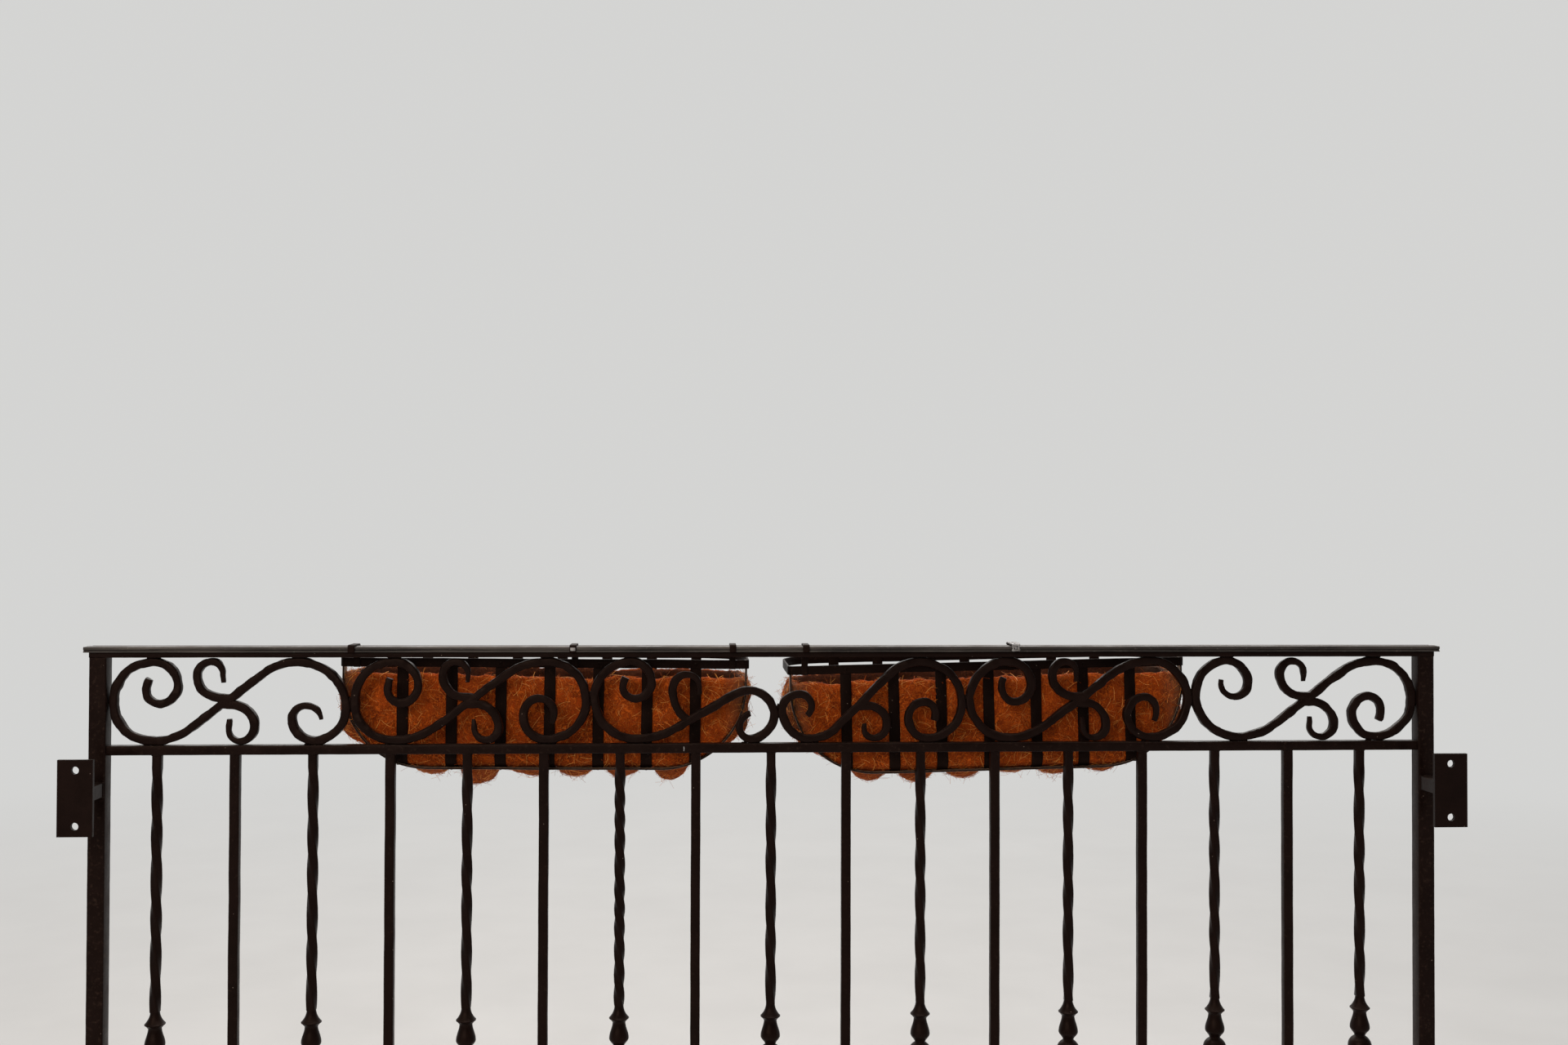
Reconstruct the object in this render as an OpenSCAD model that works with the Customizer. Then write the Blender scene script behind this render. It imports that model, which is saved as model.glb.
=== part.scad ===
// Juliet balcony: a wrought-iron railing with a scrolled frieze under the handrail,
// twisted and plain balusters, and two coir-lined strap baskets hooked over the rail.
// X runs along the wall, Y points away from it and Z is up. The origin is the middle
// of the lower left wall flange, on the face that meets the wall.

/* [Railing] */
// Distance between baluster centres
baluster_pitch = 114.3; // [100:0.1:120]
// Number of balusters between the end posts
baluster_count = 17; // [17:1:17]
// Side of a plain square baluster
baluster_bar = 14.3; // [12:0.1:16]
// Clear height of the balusters between their two rails
baluster_h = 916; // [880:1:940]
// Height of the bottom rail
bottom_rail_h = 14; // [12:1:20]
// Height of the rail that carries the frieze
frieze_rail_h = 14; // [12:1:20]
// Depth of the bottom rail and the frieze rail
rail_d = 18; // [16:1:24]
// Side of the square end posts
post_w = 25; // [22:1:32]

/* [Handrail] */
// Height of the flat bar under the moulded cap
top_rail_h = 8; // [6:1:10]
// Depth of the flat bar under the moulded cap
top_rail_d = 25; // [22:1:30]
// Height of the moulded cap
cap_h = 9; // [8:0.5:12]
// Depth of the moulded cap
cap_d = 38; // [34:1:44]
// Length of the cap that stands past each end post
cap_overhang = 6; // [2:1:12]
// Height of the lip along the cap's lower edge
cap_lip_h = 1.8; // [1:0.1:2.4]
// Height of the groove over the lip
cap_groove_h = 1.1; // [0.6:0.1:1.4]
// Depth of the groove
cap_groove_in = 1.5; // [0.5:0.1:2]
// Radius of the crowned top
cap_crown_r = 100; // [90:5:200]

/* [Frieze] */
// Clear height between the frieze rail and the handrail
frieze_h = 131; // [131:0.5:134]
// Height of the scrolls
scroll_h = 130; // [130:0.5:131]
// Side of the square scroll bar
scroll_bar = 12.5; // [10:0.5:14]
// Width of a long scroll at the left end
long_w_a = 354; // [350:1:360]
// Width of the long scroll beside the middle, on the left
long_w_b = 358; // [350:1:360]
// Width of the short scroll left of the middle
short_w_a = 284.5; // [280:0.5:290]
// Width of the short scroll right of the middle
short_w_b = 288; // [284:0.5:292]
// Width of the long scroll beside the middle, on the right
long_w_c = 351; // [348:1:358]
// Slope of the long scroll's diagonal, in degrees
long_slope = 37; // [36:0.5:39]
// Slope of the left short scroll's diagonal, in degrees
short_slope_a = 30; // [29:0.5:32]
// Slope of the right short scroll's diagonal, in degrees
short_slope_b = 45; // [44:0.5:47]
// Outer bend of the left short scroll's tall curl
oval_outer_r = 63; // [61:0.5:66]
// Outer bend of the right short scroll's tall curl
tall_outer_r = 65; // [62:0.5:66]

/* [Twisted bars] */
// Side of the twisted bar
twist_bar = 13.4; // [12:0.1:15]
// Cut across each arris of the twisted bar
twist_arris = 2.4; // [1:0.1:3.5]
// Quarter turns in each half of a slowly twisted bar
slow_turns = 6; // [4:1:8]
// Quarter turns in each half of the closely twisted bar
close_turns = 11; // [8:1:12]
// Plain square length at each end of a twisted bar
plain_end = 20; // [10:1:40]

/* [Knuckle casting] */
// Radius of the ball in the middle
ball_r = 17.7; // [15:0.1:19]
// Radius of the waist beside the ball
waist_r = 8; // [7.5:0.1:9]
// Radius of the bulb
bulb_r = 14.7; // [13:0.1:16]
// Distance from the middle to the widest part of the bulb
bulb_at = 28.8; // [27:0.1:31]
// Radius of the neck between bulb and collar
neck_r = 9.6; // [9:0.1:11]
// Distance from the middle to the neck
neck_at = 53; // [50:0.5:55]
// Radius of the sharp collar
collar_r = 14.9; // [13:0.1:17]
// Distance from the middle to the collar
collar_at = 59; // [57:0.5:62]
// Half length of the casting
casting_half = 79; // [74:1:86]
// Height of the collar's edge
collar_land = 1.5; // [0.5:0.1:3]
// Hollowness of the flare between collar and bar, as a power
flare_power = 2.2; // [1.2:0.1:3]

/* [Wall brackets] */
// Distance from the wall to the middle of the railing
stand_off = 90; // [80:1:120]
// Side of the square bracket bar
bracket_bar = 20; // [16:1:25]
// Width of a wall flange
flange_w = 50; // [44:1:60]
// Height of a wall flange
flange_h = 110; // [105:1:130]
// Thickness of a wall flange
flange_t = 6; // [5:1:8]
// Diameter of the holes in a wall flange
flange_hole_d = 11; // [9:0.5:13]
// Distance between the two holes in a wall flange
flange_hole_spacing = 80; // [70:1:86]
// Height of the lower flange's middle over the railing's foot
lower_flange_up = 110; // [80:1:160]
// Distance from a post's top down to the upper flange's middle
upper_flange_down = 195; // [150:1:300]

/* [Baskets] */
// Length of a basket's liner along the railing
basket_len = 608; // [600:1:616]
// Depth of a basket from back to front
basket_d = 210; // [180:1:240]
// Height of a basket from rim to keel
basket_h = 166; // [150:1:180]
// Radius of the keel's corners, seen from the near side
basket_end_r = 127; // [105:1:132]
// Radius of a basket's front, seen from its end
basket_front_r = 130; // [110:1:140]
// Radius of a basket's back edge along the keel
basket_back_r = 15; // [15:1:20]
// Radius of the rim's front corners, seen from above
basket_plan_r = 70; // [50:1:90]
// Thickness of the strap
strap_t = 3; // [2.5:0.5:4]
// Width of the upright straps
strap_w = 17; // [12:1:18]
// Height of the rim
rim_h = 12; // [10:1:16]
// Distance between the upright straps
strap_pitch = 74; // [70:0.5:76]
// Number of upright straps on each side of the middle one
straps_each_side = 3; // [2:1:3]
// Thickness of the coir liner
liner_t = 10; // [8:1:14]
// Distance of the liner's edge below the top of the rim
liner_down = 19; // [12:1:24]
// Distance between the two baskets' liners
basket_gap = 71; // [30:1:90]
// Distance of the pair of baskets from the middle of the balusters
basket_shift = -3.5; // [-20:0.5:20]
// Height of the left basket's rim over the frieze rail
left_rim_up = 126; // [120:0.5:127]
// Height of the right basket's rim over the frieze rail
right_rim_up = 121; // [116:0.5:122]
// Distance of the left basket's middle strap from that basket's middle
left_strap_shift = 6; // [-8:0.5:8]
// Distance of the right basket's middle strap from that basket's middle
right_strap_shift = 1.5; // [-8:0.5:8]
// Lean of the left basket along the railing, in degrees
left_lean = 0.45; // [0:0.05:0.6]
// Lean of the right basket along the railing, in degrees
right_lean = -1.3; // [-1.4:0.05:0]
// Distance of the outer hooks from the ends of a basket's liner
hook_inset = 20; // [10:1:60]
// Distance of the left basket's middle hook from that basket's middle
left_hook_shift = 44; // [-60:1:60]
// Distance of the right basket's middle hook from that basket's middle
right_hook_shift = 36; // [-60:1:60]
// Width of the hooks
hook_w = 10; // [8:1:14]
// Thickness of the hooks
hook_t = 2.5; // [2:0.5:3]
// Length of a hook's lip down the near side of the cap
hook_lip = 9; // [6:0.5:12]

/* [Hidden] */
$fn = 48;
// A little more than nothing, for cuts that run past a face
past = 1;
// The straight of a diagonal is a hair thicker than the bends that it laps into
joint_lap = 0.5;
joint_proud = 0.05;
// Depth that a weld or rivet sinks one piece into another
weld_bite = 0.2;

// Heights
foot_z = -lower_flange_up;
baluster_z = foot_z + bottom_rail_h;
frieze_rail_z = baluster_z + baluster_h;
frieze_z = frieze_rail_z + frieze_rail_h;
top_rail_z = frieze_z + frieze_h;
cap_z = top_rail_z + top_rail_h;
cap_top_z = cap_z + cap_h;

// Places along the wall
scroll_widths = [long_w_a, long_w_b, short_w_a, short_w_b, long_w_c, long_w_a];
function sum_to(list, n) = n <= 0 ? 0 : list[n - 1] + sum_to(list, n - 1);
function scroll_x(k) = post_w / 2 + sum_to(scroll_widths, k);
right_post_x = scroll_x(len(scroll_widths)) + post_w / 2;
// The balusters stand a little left of the frieze's own middle
middle_shift = -10.5;
middle_x = scroll_x(3) + middle_shift;

// The scrolls rest on the frieze rail and reach just under the handrail
mid_bar = scroll_bar / 2;
curl_h = scroll_h - scroll_bar;

// Each curl is a list of quarter-turn radii from the diagonal inwards, then the
// radius and angle of its tail
round_curl = [[curl_h / 2, curl_h / 2, 36, 26, 20], [40, 25]];
oval_curl = [[oval_outer_r, curl_h - oval_outer_r, 31, 25, 17], [40, 22]];
tall_curl = [[tall_outer_r, curl_h - tall_outer_r, 30, 24.5, 17], [40, 15]];
first_end_curl = [[70, curl_h - 70, 32, 20.5], [22, 62]];
last_end_curl = [[68, curl_h - 68, 33.5, 22, 20], [40, 10]];
low_curl_right = [[38, 35.5, 17], [22, 75]];
low_curl_left = [[42, 26, 18], [22, 45]];

// Kind of each scroll: left curl, right curl, slope, share of the left swing
long_kind = [round_curl, round_curl, long_slope, 0.5];
first_kind = [round_curl, first_end_curl, long_slope, 0.5];
last_kind = [last_end_curl, round_curl, long_slope, 0.5];
short_kind_a = [oval_curl, low_curl_right, short_slope_a, 0.72];
short_kind_b = [low_curl_left, tall_curl, short_slope_b, 0.47];
scroll_kinds = [first_kind, long_kind, short_kind_a, short_kind_b, long_kind, last_kind];

iron = [0.13, 0.09, 0.08];
cap_iron = [0.30, 0.30, 0.33];
strap_iron = [0.20, 0.12, 0.10];
coir = [0.55, 0.31, 0.13];

// A square-section block centred on X and Y, standing on Z
module upright(size_x, size_y, height) {
    translate([-size_x / 2, -size_y / 2, 0]) cube([size_x, size_y, height]);
}

// A bar along X between two places
module rail(x_from, x_to, z, depth, height) {
    translate([x_from, stand_off - depth / 2, z]) cube([x_to - x_from, depth, height]);
}

// Outline of the moulded cap: a lip, a groove and a crowned top with round edges
module cap_outline() {
    round_h = cap_h - cap_lip_h - cap_groove_h;
    edge_r = round_h / 2;
    translate([-cap_d / 2, 0]) square([cap_d, cap_lip_h]);
    translate([-cap_d / 2 + cap_groove_in, 0])
        square([cap_d - 2 * cap_groove_in, cap_h - edge_r]);
    intersection() {
        union() {
            for (side = [-1, 1])
                translate([side * (cap_d / 2 - edge_r), cap_h - edge_r]) circle(r = edge_r);
            translate([-cap_d / 2 + edge_r, cap_h - round_h])
                square([cap_d - 2 * edge_r, round_h]);
        }
        translate([0, cap_h - cap_crown_r]) circle(r = cap_crown_r, $fn = 360);
    }
}

module handrail_cap() {
    reach = post_w / 2 + cap_overhang;
    color(cap_iron)
        translate([-reach, stand_off, cap_z])
            rotate([90, 0, 90])
                linear_extrude(height = right_post_x + 2 * reach) cap_outline();
}

module top_rail() {
    color(iron) rail(-post_w / 2, right_post_x + post_w / 2, top_rail_z, top_rail_d, top_rail_h);
}

module frieze_rail() {
    color(iron) rail(post_w / 2, right_post_x - post_w / 2, frieze_rail_z, rail_d, frieze_rail_h);
}

module bottom_rail() {
    color(iron) rail(post_w / 2, right_post_x - post_w / 2, foot_z, rail_d, bottom_rail_h);
}

module post(x) {
    color(iron)
        translate([x, stand_off, foot_z]) upright(post_w, post_w, top_rail_z - foot_z);
}

// The bracket bar runs back from a post to a flange that two bolts hold on the wall
module bracket(x, z) {
    color(iron)
        translate([x, 0, z]) {
            difference() {
                translate([-flange_w / 2, 0, -flange_h / 2]) cube([flange_w, flange_t, flange_h]);
                for (side = [-1, 1])
                    translate([0, -past, side * flange_hole_spacing / 2])
                        rotate([-90, 0, 0]) cylinder(d = flange_hole_d, h = flange_t + 2 * past);
            }
            translate([-bracket_bar / 2, flange_t, -bracket_bar / 2])
                cube([bracket_bar, stand_off - post_w / 2 - flange_t, bracket_bar]);
        }
}

// Square bar with its arrises cut, twisted through a number of quarter turns
module twisted_length(height, turns) {
    half = twist_bar / 2;
    cut = half - twist_arris;
    linear_extrude(height = height, twist = -90 * turns, slices = 4 * turns, segments = 1)
        polygon([[half, -cut], [half, cut], [cut, half], [-cut, half],
                 [-half, cut], [-half, -cut], [-cut, -half], [cut, -half]]);
}

// Radius of the casting between two stations, blended smoothly
function blend_r(from_r, to_r, t) = from_r + (to_r - from_r) * (1 - cos(180 * t)) / 2;

// Half of the knuckle casting's outline, from the ball's waist to the bar
module casting_half_outline() {
    waist_at = sqrt(ball_r * ball_r - waist_r * waist_r);
    bar_r = twist_bar / 2;
    flare_from = collar_at + collar_land / 2;
    steps = 6;
    bulb = [for (i = [0:steps - 1]) let (t = i / steps)
        [blend_r(waist_r, bulb_r, t), waist_at + (bulb_at - waist_at) * t]];
    neck = [for (i = [0:steps]) let (t = i / steps)
        [blend_r(bulb_r, neck_r, t), bulb_at + (neck_at - bulb_at) * t]];
    flare = [for (i = [0:steps]) let (t = i / steps)
        [bar_r + (collar_r - bar_r) * pow(1 - t, flare_power), flare_from + (casting_half - flare_from) * t]];
    polygon(concat([[0, 0], [waist_r, 0]], bulb, neck,
                   [[collar_r, collar_at - collar_land / 2]], flare, [[0, casting_half]]));
}

module knuckle_casting() {
    rotate_extrude($fn = 32)
        union() {
            intersection() {
                circle(r = ball_r, $fn = 96);
                translate([0, -ball_r]) square([ball_r, 2 * ball_r]);
            }
            casting_half_outline();
            mirror([0, 1]) casting_half_outline();
        }
}

module plain_baluster() {
    upright(baluster_bar, baluster_bar, baluster_h);
}

module twisted_baluster(turns) {
    half_h = baluster_h / 2;
    twist_h = half_h - casting_half - plain_end;
    upright(twist_bar, twist_bar, plain_end);
    translate([0, 0, baluster_h - plain_end]) upright(twist_bar, twist_bar, plain_end);
    translate([0, 0, plain_end]) twisted_length(twist_h, turns);
    translate([0, 0, half_h + casting_half]) twisted_length(twist_h, turns);
    translate([0, 0, half_h]) knuckle_casting();
}

// Odd balusters are twisted, and baluster 7 is twisted more closely than the others
module baluster(n) {
    x = middle_x + (n - (baluster_count + 1) / 2) * baluster_pitch;
    color(iron)
        translate([x, stand_off, baluster_z])
            if (n % 2 == 0) plain_baluster();
            else twisted_baluster(n == 7 ? close_turns : slow_turns);
}

// A path is a list of [radius, angle] arcs, turning left where the angle is positive,
// and of [0, length] straights. A state along it is [x, y, heading].
function step(s, seg) = seg[0] == 0
    ? [s[0] + seg[1] * cos(s[2]), s[1] + seg[1] * sin(s[2]), s[2]]
    : let (side = sign(seg[1]), cx = s[0] - side * seg[0] * sin(s[2]),
           cy = s[1] + side * seg[0] * cos(s[2]), h = s[2] + seg[1])
      [cx + side * seg[0] * sin(h), cy - side * seg[0] * cos(h), h];
function state(path, start, n) = n == 0 ? start : step(state(path, start, n - 1), path[n - 1]);

// Square bar along a path, lying in the XY plane. The bar is depth thick across Z.
module bar_along(path, start, width, depth) {
    for (i = [0:len(path) - 1]) {
        s = state(path, start, i);
        seg = path[i];
        translate([s[0], s[1], 0])
            rotate([0, 0, s[2]])
                if (seg[0] == 0)
                    translate([0, -width / 2, -depth / 2]) cube([seg[1], width, depth]);
                else
                    mirror([0, seg[1] < 0 ? 1 : 0, 0])
                        translate([0, seg[0], 0])
                            rotate([0, 0, -90])
                                rotate_extrude(angle = abs(seg[1]))
                                    translate([seg[0] - width / 2, -depth / 2]) square([width, depth]);
    }
}

// Quarter turns of a curl as path segments, from the diagonal inwards
function curl_path(curl, side) =
    concat([for (r = curl[0]) [r, 90 * side]], [[curl[1][0], curl[1][1] * side]]);

// A scroll is drawn from two places: the left curl's foot and the right curl's top. From
// each of them one path winds into the curl, and one arc swings into the diagonal.
function foot_u(kind) = mid_bar + kind[0][0][0];
function top_u(kind, width) = width - mid_bar - kind[1][0][0];
function top_v(kind) = mid_bar + kind[1][0][0] + kind[1][0][1];
function swing_sum(kind, width) = let (a = kind[2])
    ((top_u(kind, width) - foot_u(kind)) * tan(a) - (top_v(kind) - mid_bar)) * cos(a) / (1 - cos(a));
function straight_len(kind, width) = let (a = kind[2])
    (top_u(kind, width) - foot_u(kind) - swing_sum(kind, width) * sin(a)) / cos(a);
function left_swing(kind, width) = swing_sum(kind, width) * kind[3];

// Straight of the diagonal, from the end of the left curl's swing
module diagonal(kind, width, depth) {
    from = step([foot_u(kind), mid_bar, 0], [left_swing(kind, width), kind[2]]);
    translate([from[0], from[1], 0])
        rotate([0, 0, from[2]])
            translate([-joint_lap, -scroll_bar / 2 - joint_proud, -depth / 2 - joint_proud])
                cube([straight_len(kind, width) + 2 * joint_lap,
                      scroll_bar + 2 * joint_proud, depth + 2 * joint_proud]);
}

module scroll_shape(k, depth) {
    kind = scroll_kinds[k];
    width = scroll_widths[k];
    foot = [foot_u(kind), mid_bar];
    top = [top_u(kind, width), top_v(kind)];
    right_swing = swing_sum(kind, width) - left_swing(kind, width);
    bar_along(curl_path(kind[0], -1), [foot[0], foot[1], 180], scroll_bar, depth);
    bar_along([[left_swing(kind, width), kind[2]]], [foot[0], foot[1], 0], scroll_bar, depth);
    diagonal(kind, width, depth);
    bar_along([[right_swing, kind[2]]], [top[0], top[1], 180], scroll_bar, depth);
    bar_along(curl_path(kind[1], -1), [top[0], top[1], 0], scroll_bar, depth);
}

// Small curls: quarter-turn radii, then the length of the straight tail
small_long = [[34, 20, 17.5], 14];
small_short_a = [[22, 19], 11];
small_short_b = [[29, 21, 14], 8];
// Distance of the long scroll's small curl from the middle of its diagonal
small_long_at = 22;
// Top of the left short scroll's small curl, and the arc that joins it to the diagonal
small_short_a_top = [145.5, 104];
small_short_a_rise = [57, 53];
// Place of the right short scroll's small curl, and the straight that joins it to the diagonal
small_short_b_at = 138;
small_short_b_run = 16;

function small_path(small, side) =
    concat([for (r = small[0]) [r, 90 * side]], [[0, small[1]]]);

// One small curl of a long scroll, from the diagonal down to the rail and up again, drawn
// from the middle of the diagonal
module small_curl_long(depth) {
    radii = small_long[0];
    top_at = [small_long_at + radii[1] - radii[0], radii[1] + radii[0] - curl_h / 2];
    run_in = radii[0] / 2;
    bar_along(concat([[0, run_in]], small_path(small_long, -1)),
              [top_at[0] - run_in, top_at[1], 0], scroll_bar, depth);
}

// The left short scroll has one small curl over its diagonal
module small_curl_short_a(depth) {
    top_at = small_short_a_top;
    bar_along(small_path([[small_short_a[0][1]], small_short_a[1]], -1),
              [top_at[0], top_at[1], 0], scroll_bar, depth);
    bar_along([[small_short_a[0][0], 90], small_short_a_rise],
              [top_at[0], top_at[1], 180], scroll_bar, depth);
}

// The right short scroll has one small curl under its diagonal
module small_curl_short_b(depth) {
    radii = small_short_b[0];
    top_at = [small_short_b_at, mid_bar + radii[1] + radii[0]];
    bar_along(concat([[0, small_short_b_run]], small_path(small_short_b, -1)),
              [top_at[0] - small_short_b_run, top_at[1], 0], scroll_bar, depth);
}

module small_curls_shape(k, depth) {
    middle_u = (foot_u(scroll_kinds[k]) + top_u(scroll_kinds[k], scroll_widths[k])) / 2;
    if (k == 2) small_curl_short_a(depth);
    else if (k == 3) small_curl_short_b(depth);
    else translate([middle_u, mid_bar + curl_h / 2, 0]) {
        small_curl_long(depth);
        rotate([0, 0, 180]) small_curl_long(depth);
    }
}

// Stands a shape of the XY plane upright in the middle of the railing
module in_frieze(k) {
    translate([scroll_x(k), stand_off, frieze_z]) rotate([90, 0, 0]) children();
}

module scroll(k) {
    color(iron) in_frieze(k) scroll_shape(k, scroll_bar);
}

// The small curls butt against the diagonal that they are welded to
module small_curls(k) {
    color(iron)
        in_frieze(k)
            difference() {
                small_curls_shape(k, scroll_bar);
                scroll_shape(k, scroll_bar + 2 * past);
            }
}

// Weld metal where neighbouring scrolls touch, and at the top and foot of each curl
weld_d = 9;
weld_h = 4;
side_weld = [7, 16];
top_weld_w = 18;
foot_weld_w = 30;
// Height left free at a touching point, and width left free under a foot
side_free = 10;
foot_free = 16;

module weld_block(x, z, width, height) {
    translate([x - width / 2, stand_off - weld_d / 2, frieze_z + z]) cube([width, weld_d, height]);
}

// Space around a touching point, where the gap is too narrow for weld metal
module free_block(x, z, width, height) {
    translate([x - width / 2 - past, stand_off - weld_d, frieze_z + z])
        cube([width + 2 * past, 2 * weld_d, height]);
}

// Round bar outline that a weld is shaped to: centre along the wall, height and radius
module bend(x, z, r) {
    translate([x, stand_off - weld_d, frieze_z + z])
        rotate([-90, 0, 0]) cylinder(r = r + mid_bar, h = 2 * weld_d, $fn = 1080);
}

// Neighbours touch between the heights where their curls are widest
module side_welds() {
    for (k = [1:len(scroll_kinds) - 1]) {
        left = scroll_kinds[k - 1][1][0];
        right = scroll_kinds[k][0][0];
        touch_z = mid_bar + (right == low_curl_left[0] ? right[0] : (left[1] + right[0]) / 2);
        z = touch_z - side_weld[1] / 2;
        difference() {
            weld_block(scroll_x(k), z, side_weld[0], side_weld[1]);
            free_block(scroll_x(k), touch_z - side_free / 2, side_weld[0], side_free);
            bend(scroll_x(k) - mid_bar - left[0], mid_bar + left[1], left[0]);
            bend(scroll_x(k) - mid_bar - left[1], mid_bar + left[1], left[1]);
            bend(scroll_x(k) + mid_bar + right[0], mid_bar + right[0], right[0]);
            bend(scroll_x(k) + mid_bar + right[1], mid_bar + right[0], right[1]);
        }
    }
}

module top_and_foot_welds() {
    for (k = [0:len(scroll_kinds) - 1]) {
        kind = scroll_kinds[k];
        left = kind[0][0];
        right = kind[1][0];
        swing_left = left_swing(kind, scroll_widths[k]);
        swing_right = swing_sum(kind, scroll_widths[k]) - swing_left;
        x_left = scroll_x(k) + mid_bar;
        x_right = scroll_x(k + 1) - mid_bar;
        // Feet of both curls on the frieze rail
        difference() {
            weld_block(x_left + left[0], 0, foot_weld_w, weld_h);
            free_block(x_left + left[0], -past, foot_free - 2 * past, weld_h);
            bend(x_left + left[0], mid_bar + left[0], left[0]);
            bend(x_left + left[0], mid_bar + swing_left, swing_left);
        }
        difference() {
            weld_block(x_right - right[1], 0, foot_weld_w, weld_h);
            free_block(x_right - right[1], -past, foot_free - 2 * past, weld_h);
            bend(x_right - right[1], mid_bar + right[1], right[1]);
        }
        // Tops of the full-height curls under the handrail
        if (left[0] + left[1] > curl_h - past)
            difference() {
                weld_block(x_left + left[1], frieze_h - weld_h, top_weld_w, weld_h);
                bend(x_left + left[1], mid_bar + left[0], left[1]);
            }
        if (right[0] + right[1] > curl_h - past)
            difference() {
                weld_block(x_right - right[0], frieze_h - weld_h, top_weld_w, weld_h);
                bend(x_right - right[0], mid_bar + right[1], right[0]);
                bend(x_right - right[0], mid_bar + right[0] + right[1] - swing_right, swing_right);
            }
    }
}

module frieze_welds() {
    color(iron) {
        side_welds();
        top_and_foot_welds();
    }
}

// Baskets. A basket's own X runs along it from its middle, Y from its back to its front
// and Z up from its rim's top.
basket_span = 2 * (basket_len + basket_d);
hook_y = cap_d / 2;
rim_back_y = hook_y + hook_t;
liner_back_y = rim_back_y + 2 * strap_t;

// End view of the trough, drawn as Y and Z, grown outwards by a skin
module trough_end_view(skin, top) {
    front = basket_d + skin;
    foot = -basket_h - skin;
    back_r = basket_back_r + skin;
    front_r = basket_front_r + skin;
    difference() {
        translate([-skin, foot]) square([front + skin, top - foot]);
        difference() {
            translate([-skin - past, foot - past]) square([back_r + past, back_r + past]);
            translate([-skin + back_r, foot + back_r]) circle(r = back_r);
        }
        difference() {
            translate([front - front_r, foot - past]) square([front_r + past, front_r + past]);
            translate([front - front_r, foot + front_r]) circle(r = front_r, $fn = 96);
        }
    }
}

// Elevation of the trough, drawn as X and Z
module trough_elevation(skin, top) {
    half = basket_len / 2 + skin;
    foot = -basket_h - skin;
    r = basket_end_r + skin;
    intersection() {
        translate([-half, foot]) square([2 * half, top - foot]);
        union() {
            translate([-half, foot + r]) square([2 * half, top - foot]);
            translate([-half + r, foot]) square([2 * (half - r), top - foot]);
            for (side = [-1, 1]) translate([side * (half - r), foot + r]) circle(r = r, $fn = 96);
        }
    }
}

// Plan of the trough, drawn as X and Y
module trough_plan(skin) {
    half = basket_len / 2 + skin;
    front = basket_d + skin;
    r = basket_plan_r + skin;
    translate([-half, -skin]) square([2 * half, front + skin - r]);
    translate([-half + r, 0]) square([2 * (half - r), front]);
    for (side = [-1, 1]) translate([side * (half - r), front - r]) circle(r = r, $fn = 96);
}

// Solid trough grown outwards by a skin, open to a given height
module trough(skin, top) {
    intersection() {
        translate([-basket_span / 2, 0, 0])
            rotate([90, 0, 90]) linear_extrude(height = basket_span) trough_end_view(skin, top);
        translate([0, basket_span / 2, 0])
            rotate([90, 0, 0]) linear_extrude(height = basket_span) trough_elevation(skin, top);
        translate([0, 0, -basket_span / 2])
            linear_extrude(height = basket_span) trough_plan(skin);
    }
}

module liner() {
    color(coir)
        difference() {
            trough(0, -liner_down);
            trough(-liner_t, past);
        }
}

// Upright straps that run down the back, under the liner and up the front
module upright_straps(shift) {
    difference() {
        intersection() {
            trough(strap_t, 0);
            for (i = [-straps_each_side:straps_each_side])
                translate([i * strap_pitch + shift - strap_w / 2, -basket_span / 2, -basket_span])
                    cube([strap_w, basket_span, basket_span]);
        }
        trough(0, past);
    }
}

// The keel strap runs down one end, along under the back and up the other end
module keel_strap() {
    translate([0, strap_w - strap_t, 0])
        rotate([90, 0, 0])
            linear_extrude(height = strap_w)
                difference() {
                    trough_elevation(strap_t, 0);
                    trough_elevation(0, past);
                }
}

module rim() {
    translate([0, 0, -rim_h])
        linear_extrude(height = rim_h)
            difference() {
                trough_plan(2 * strap_t);
                trough_plan(strap_t - weld_bite);
            }
}

// A hook lies over the cap and comes down in front of the basket's back rim
module hook(x, rim_z) {
    over = cap_top_z + hook_t;
    translate([x - hook_w / 2, stand_off, 0]) {
        translate([0, -cap_d / 2 - hook_t, cap_top_z]) cube([hook_w, cap_d + 2 * hook_t, hook_t]);
        translate([0, -cap_d / 2 - hook_t, cap_top_z - hook_lip]) cube([hook_w, hook_t, hook_lip]);
        translate([0, hook_y, rim_z - rim_h]) cube([hook_w, hook_t + weld_bite, over - rim_z + rim_h]);
    }
}

// Places a basket behind the railing, with its lean about its own middle
module at_basket(at, rim_up, lean) {
    translate([middle_x + at, stand_off + liner_back_y, frieze_z + rim_up])
        rotate([0, lean, 0]) children();
}

// Height of the rim under a hook, on a leaning basket
function rim_under(offset, rim_up, lean) = frieze_z + rim_up - offset * sin(lean);

module basket_frame(at, rim_up, lean, shift, hooks) {
    color(strap_iron) {
        at_basket(at, rim_up, lean) {
            upright_straps(shift);
            keel_strap();
            rim();
        }
        for (offset = hooks) hook(middle_x + at + offset, rim_under(offset, rim_up, lean));
    }
}

module basket_liner(at, rim_up, lean) {
    at_basket(at, rim_up, lean) liner();
}

// Places of the baskets' middles, from the middle of the balusters
left_basket_at = basket_shift - (basket_len + basket_gap) / 2;
right_basket_at = basket_shift + (basket_len + basket_gap) / 2;

// Places of the hooks from each basket's middle
outer_hook_at = basket_len / 2 - hook_inset;
left_hooks = [-outer_hook_at, left_hook_shift, outer_hook_at];
right_hooks = [-outer_hook_at, right_hook_shift];
upper_flange_z = top_rail_z - upper_flange_down;

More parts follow.
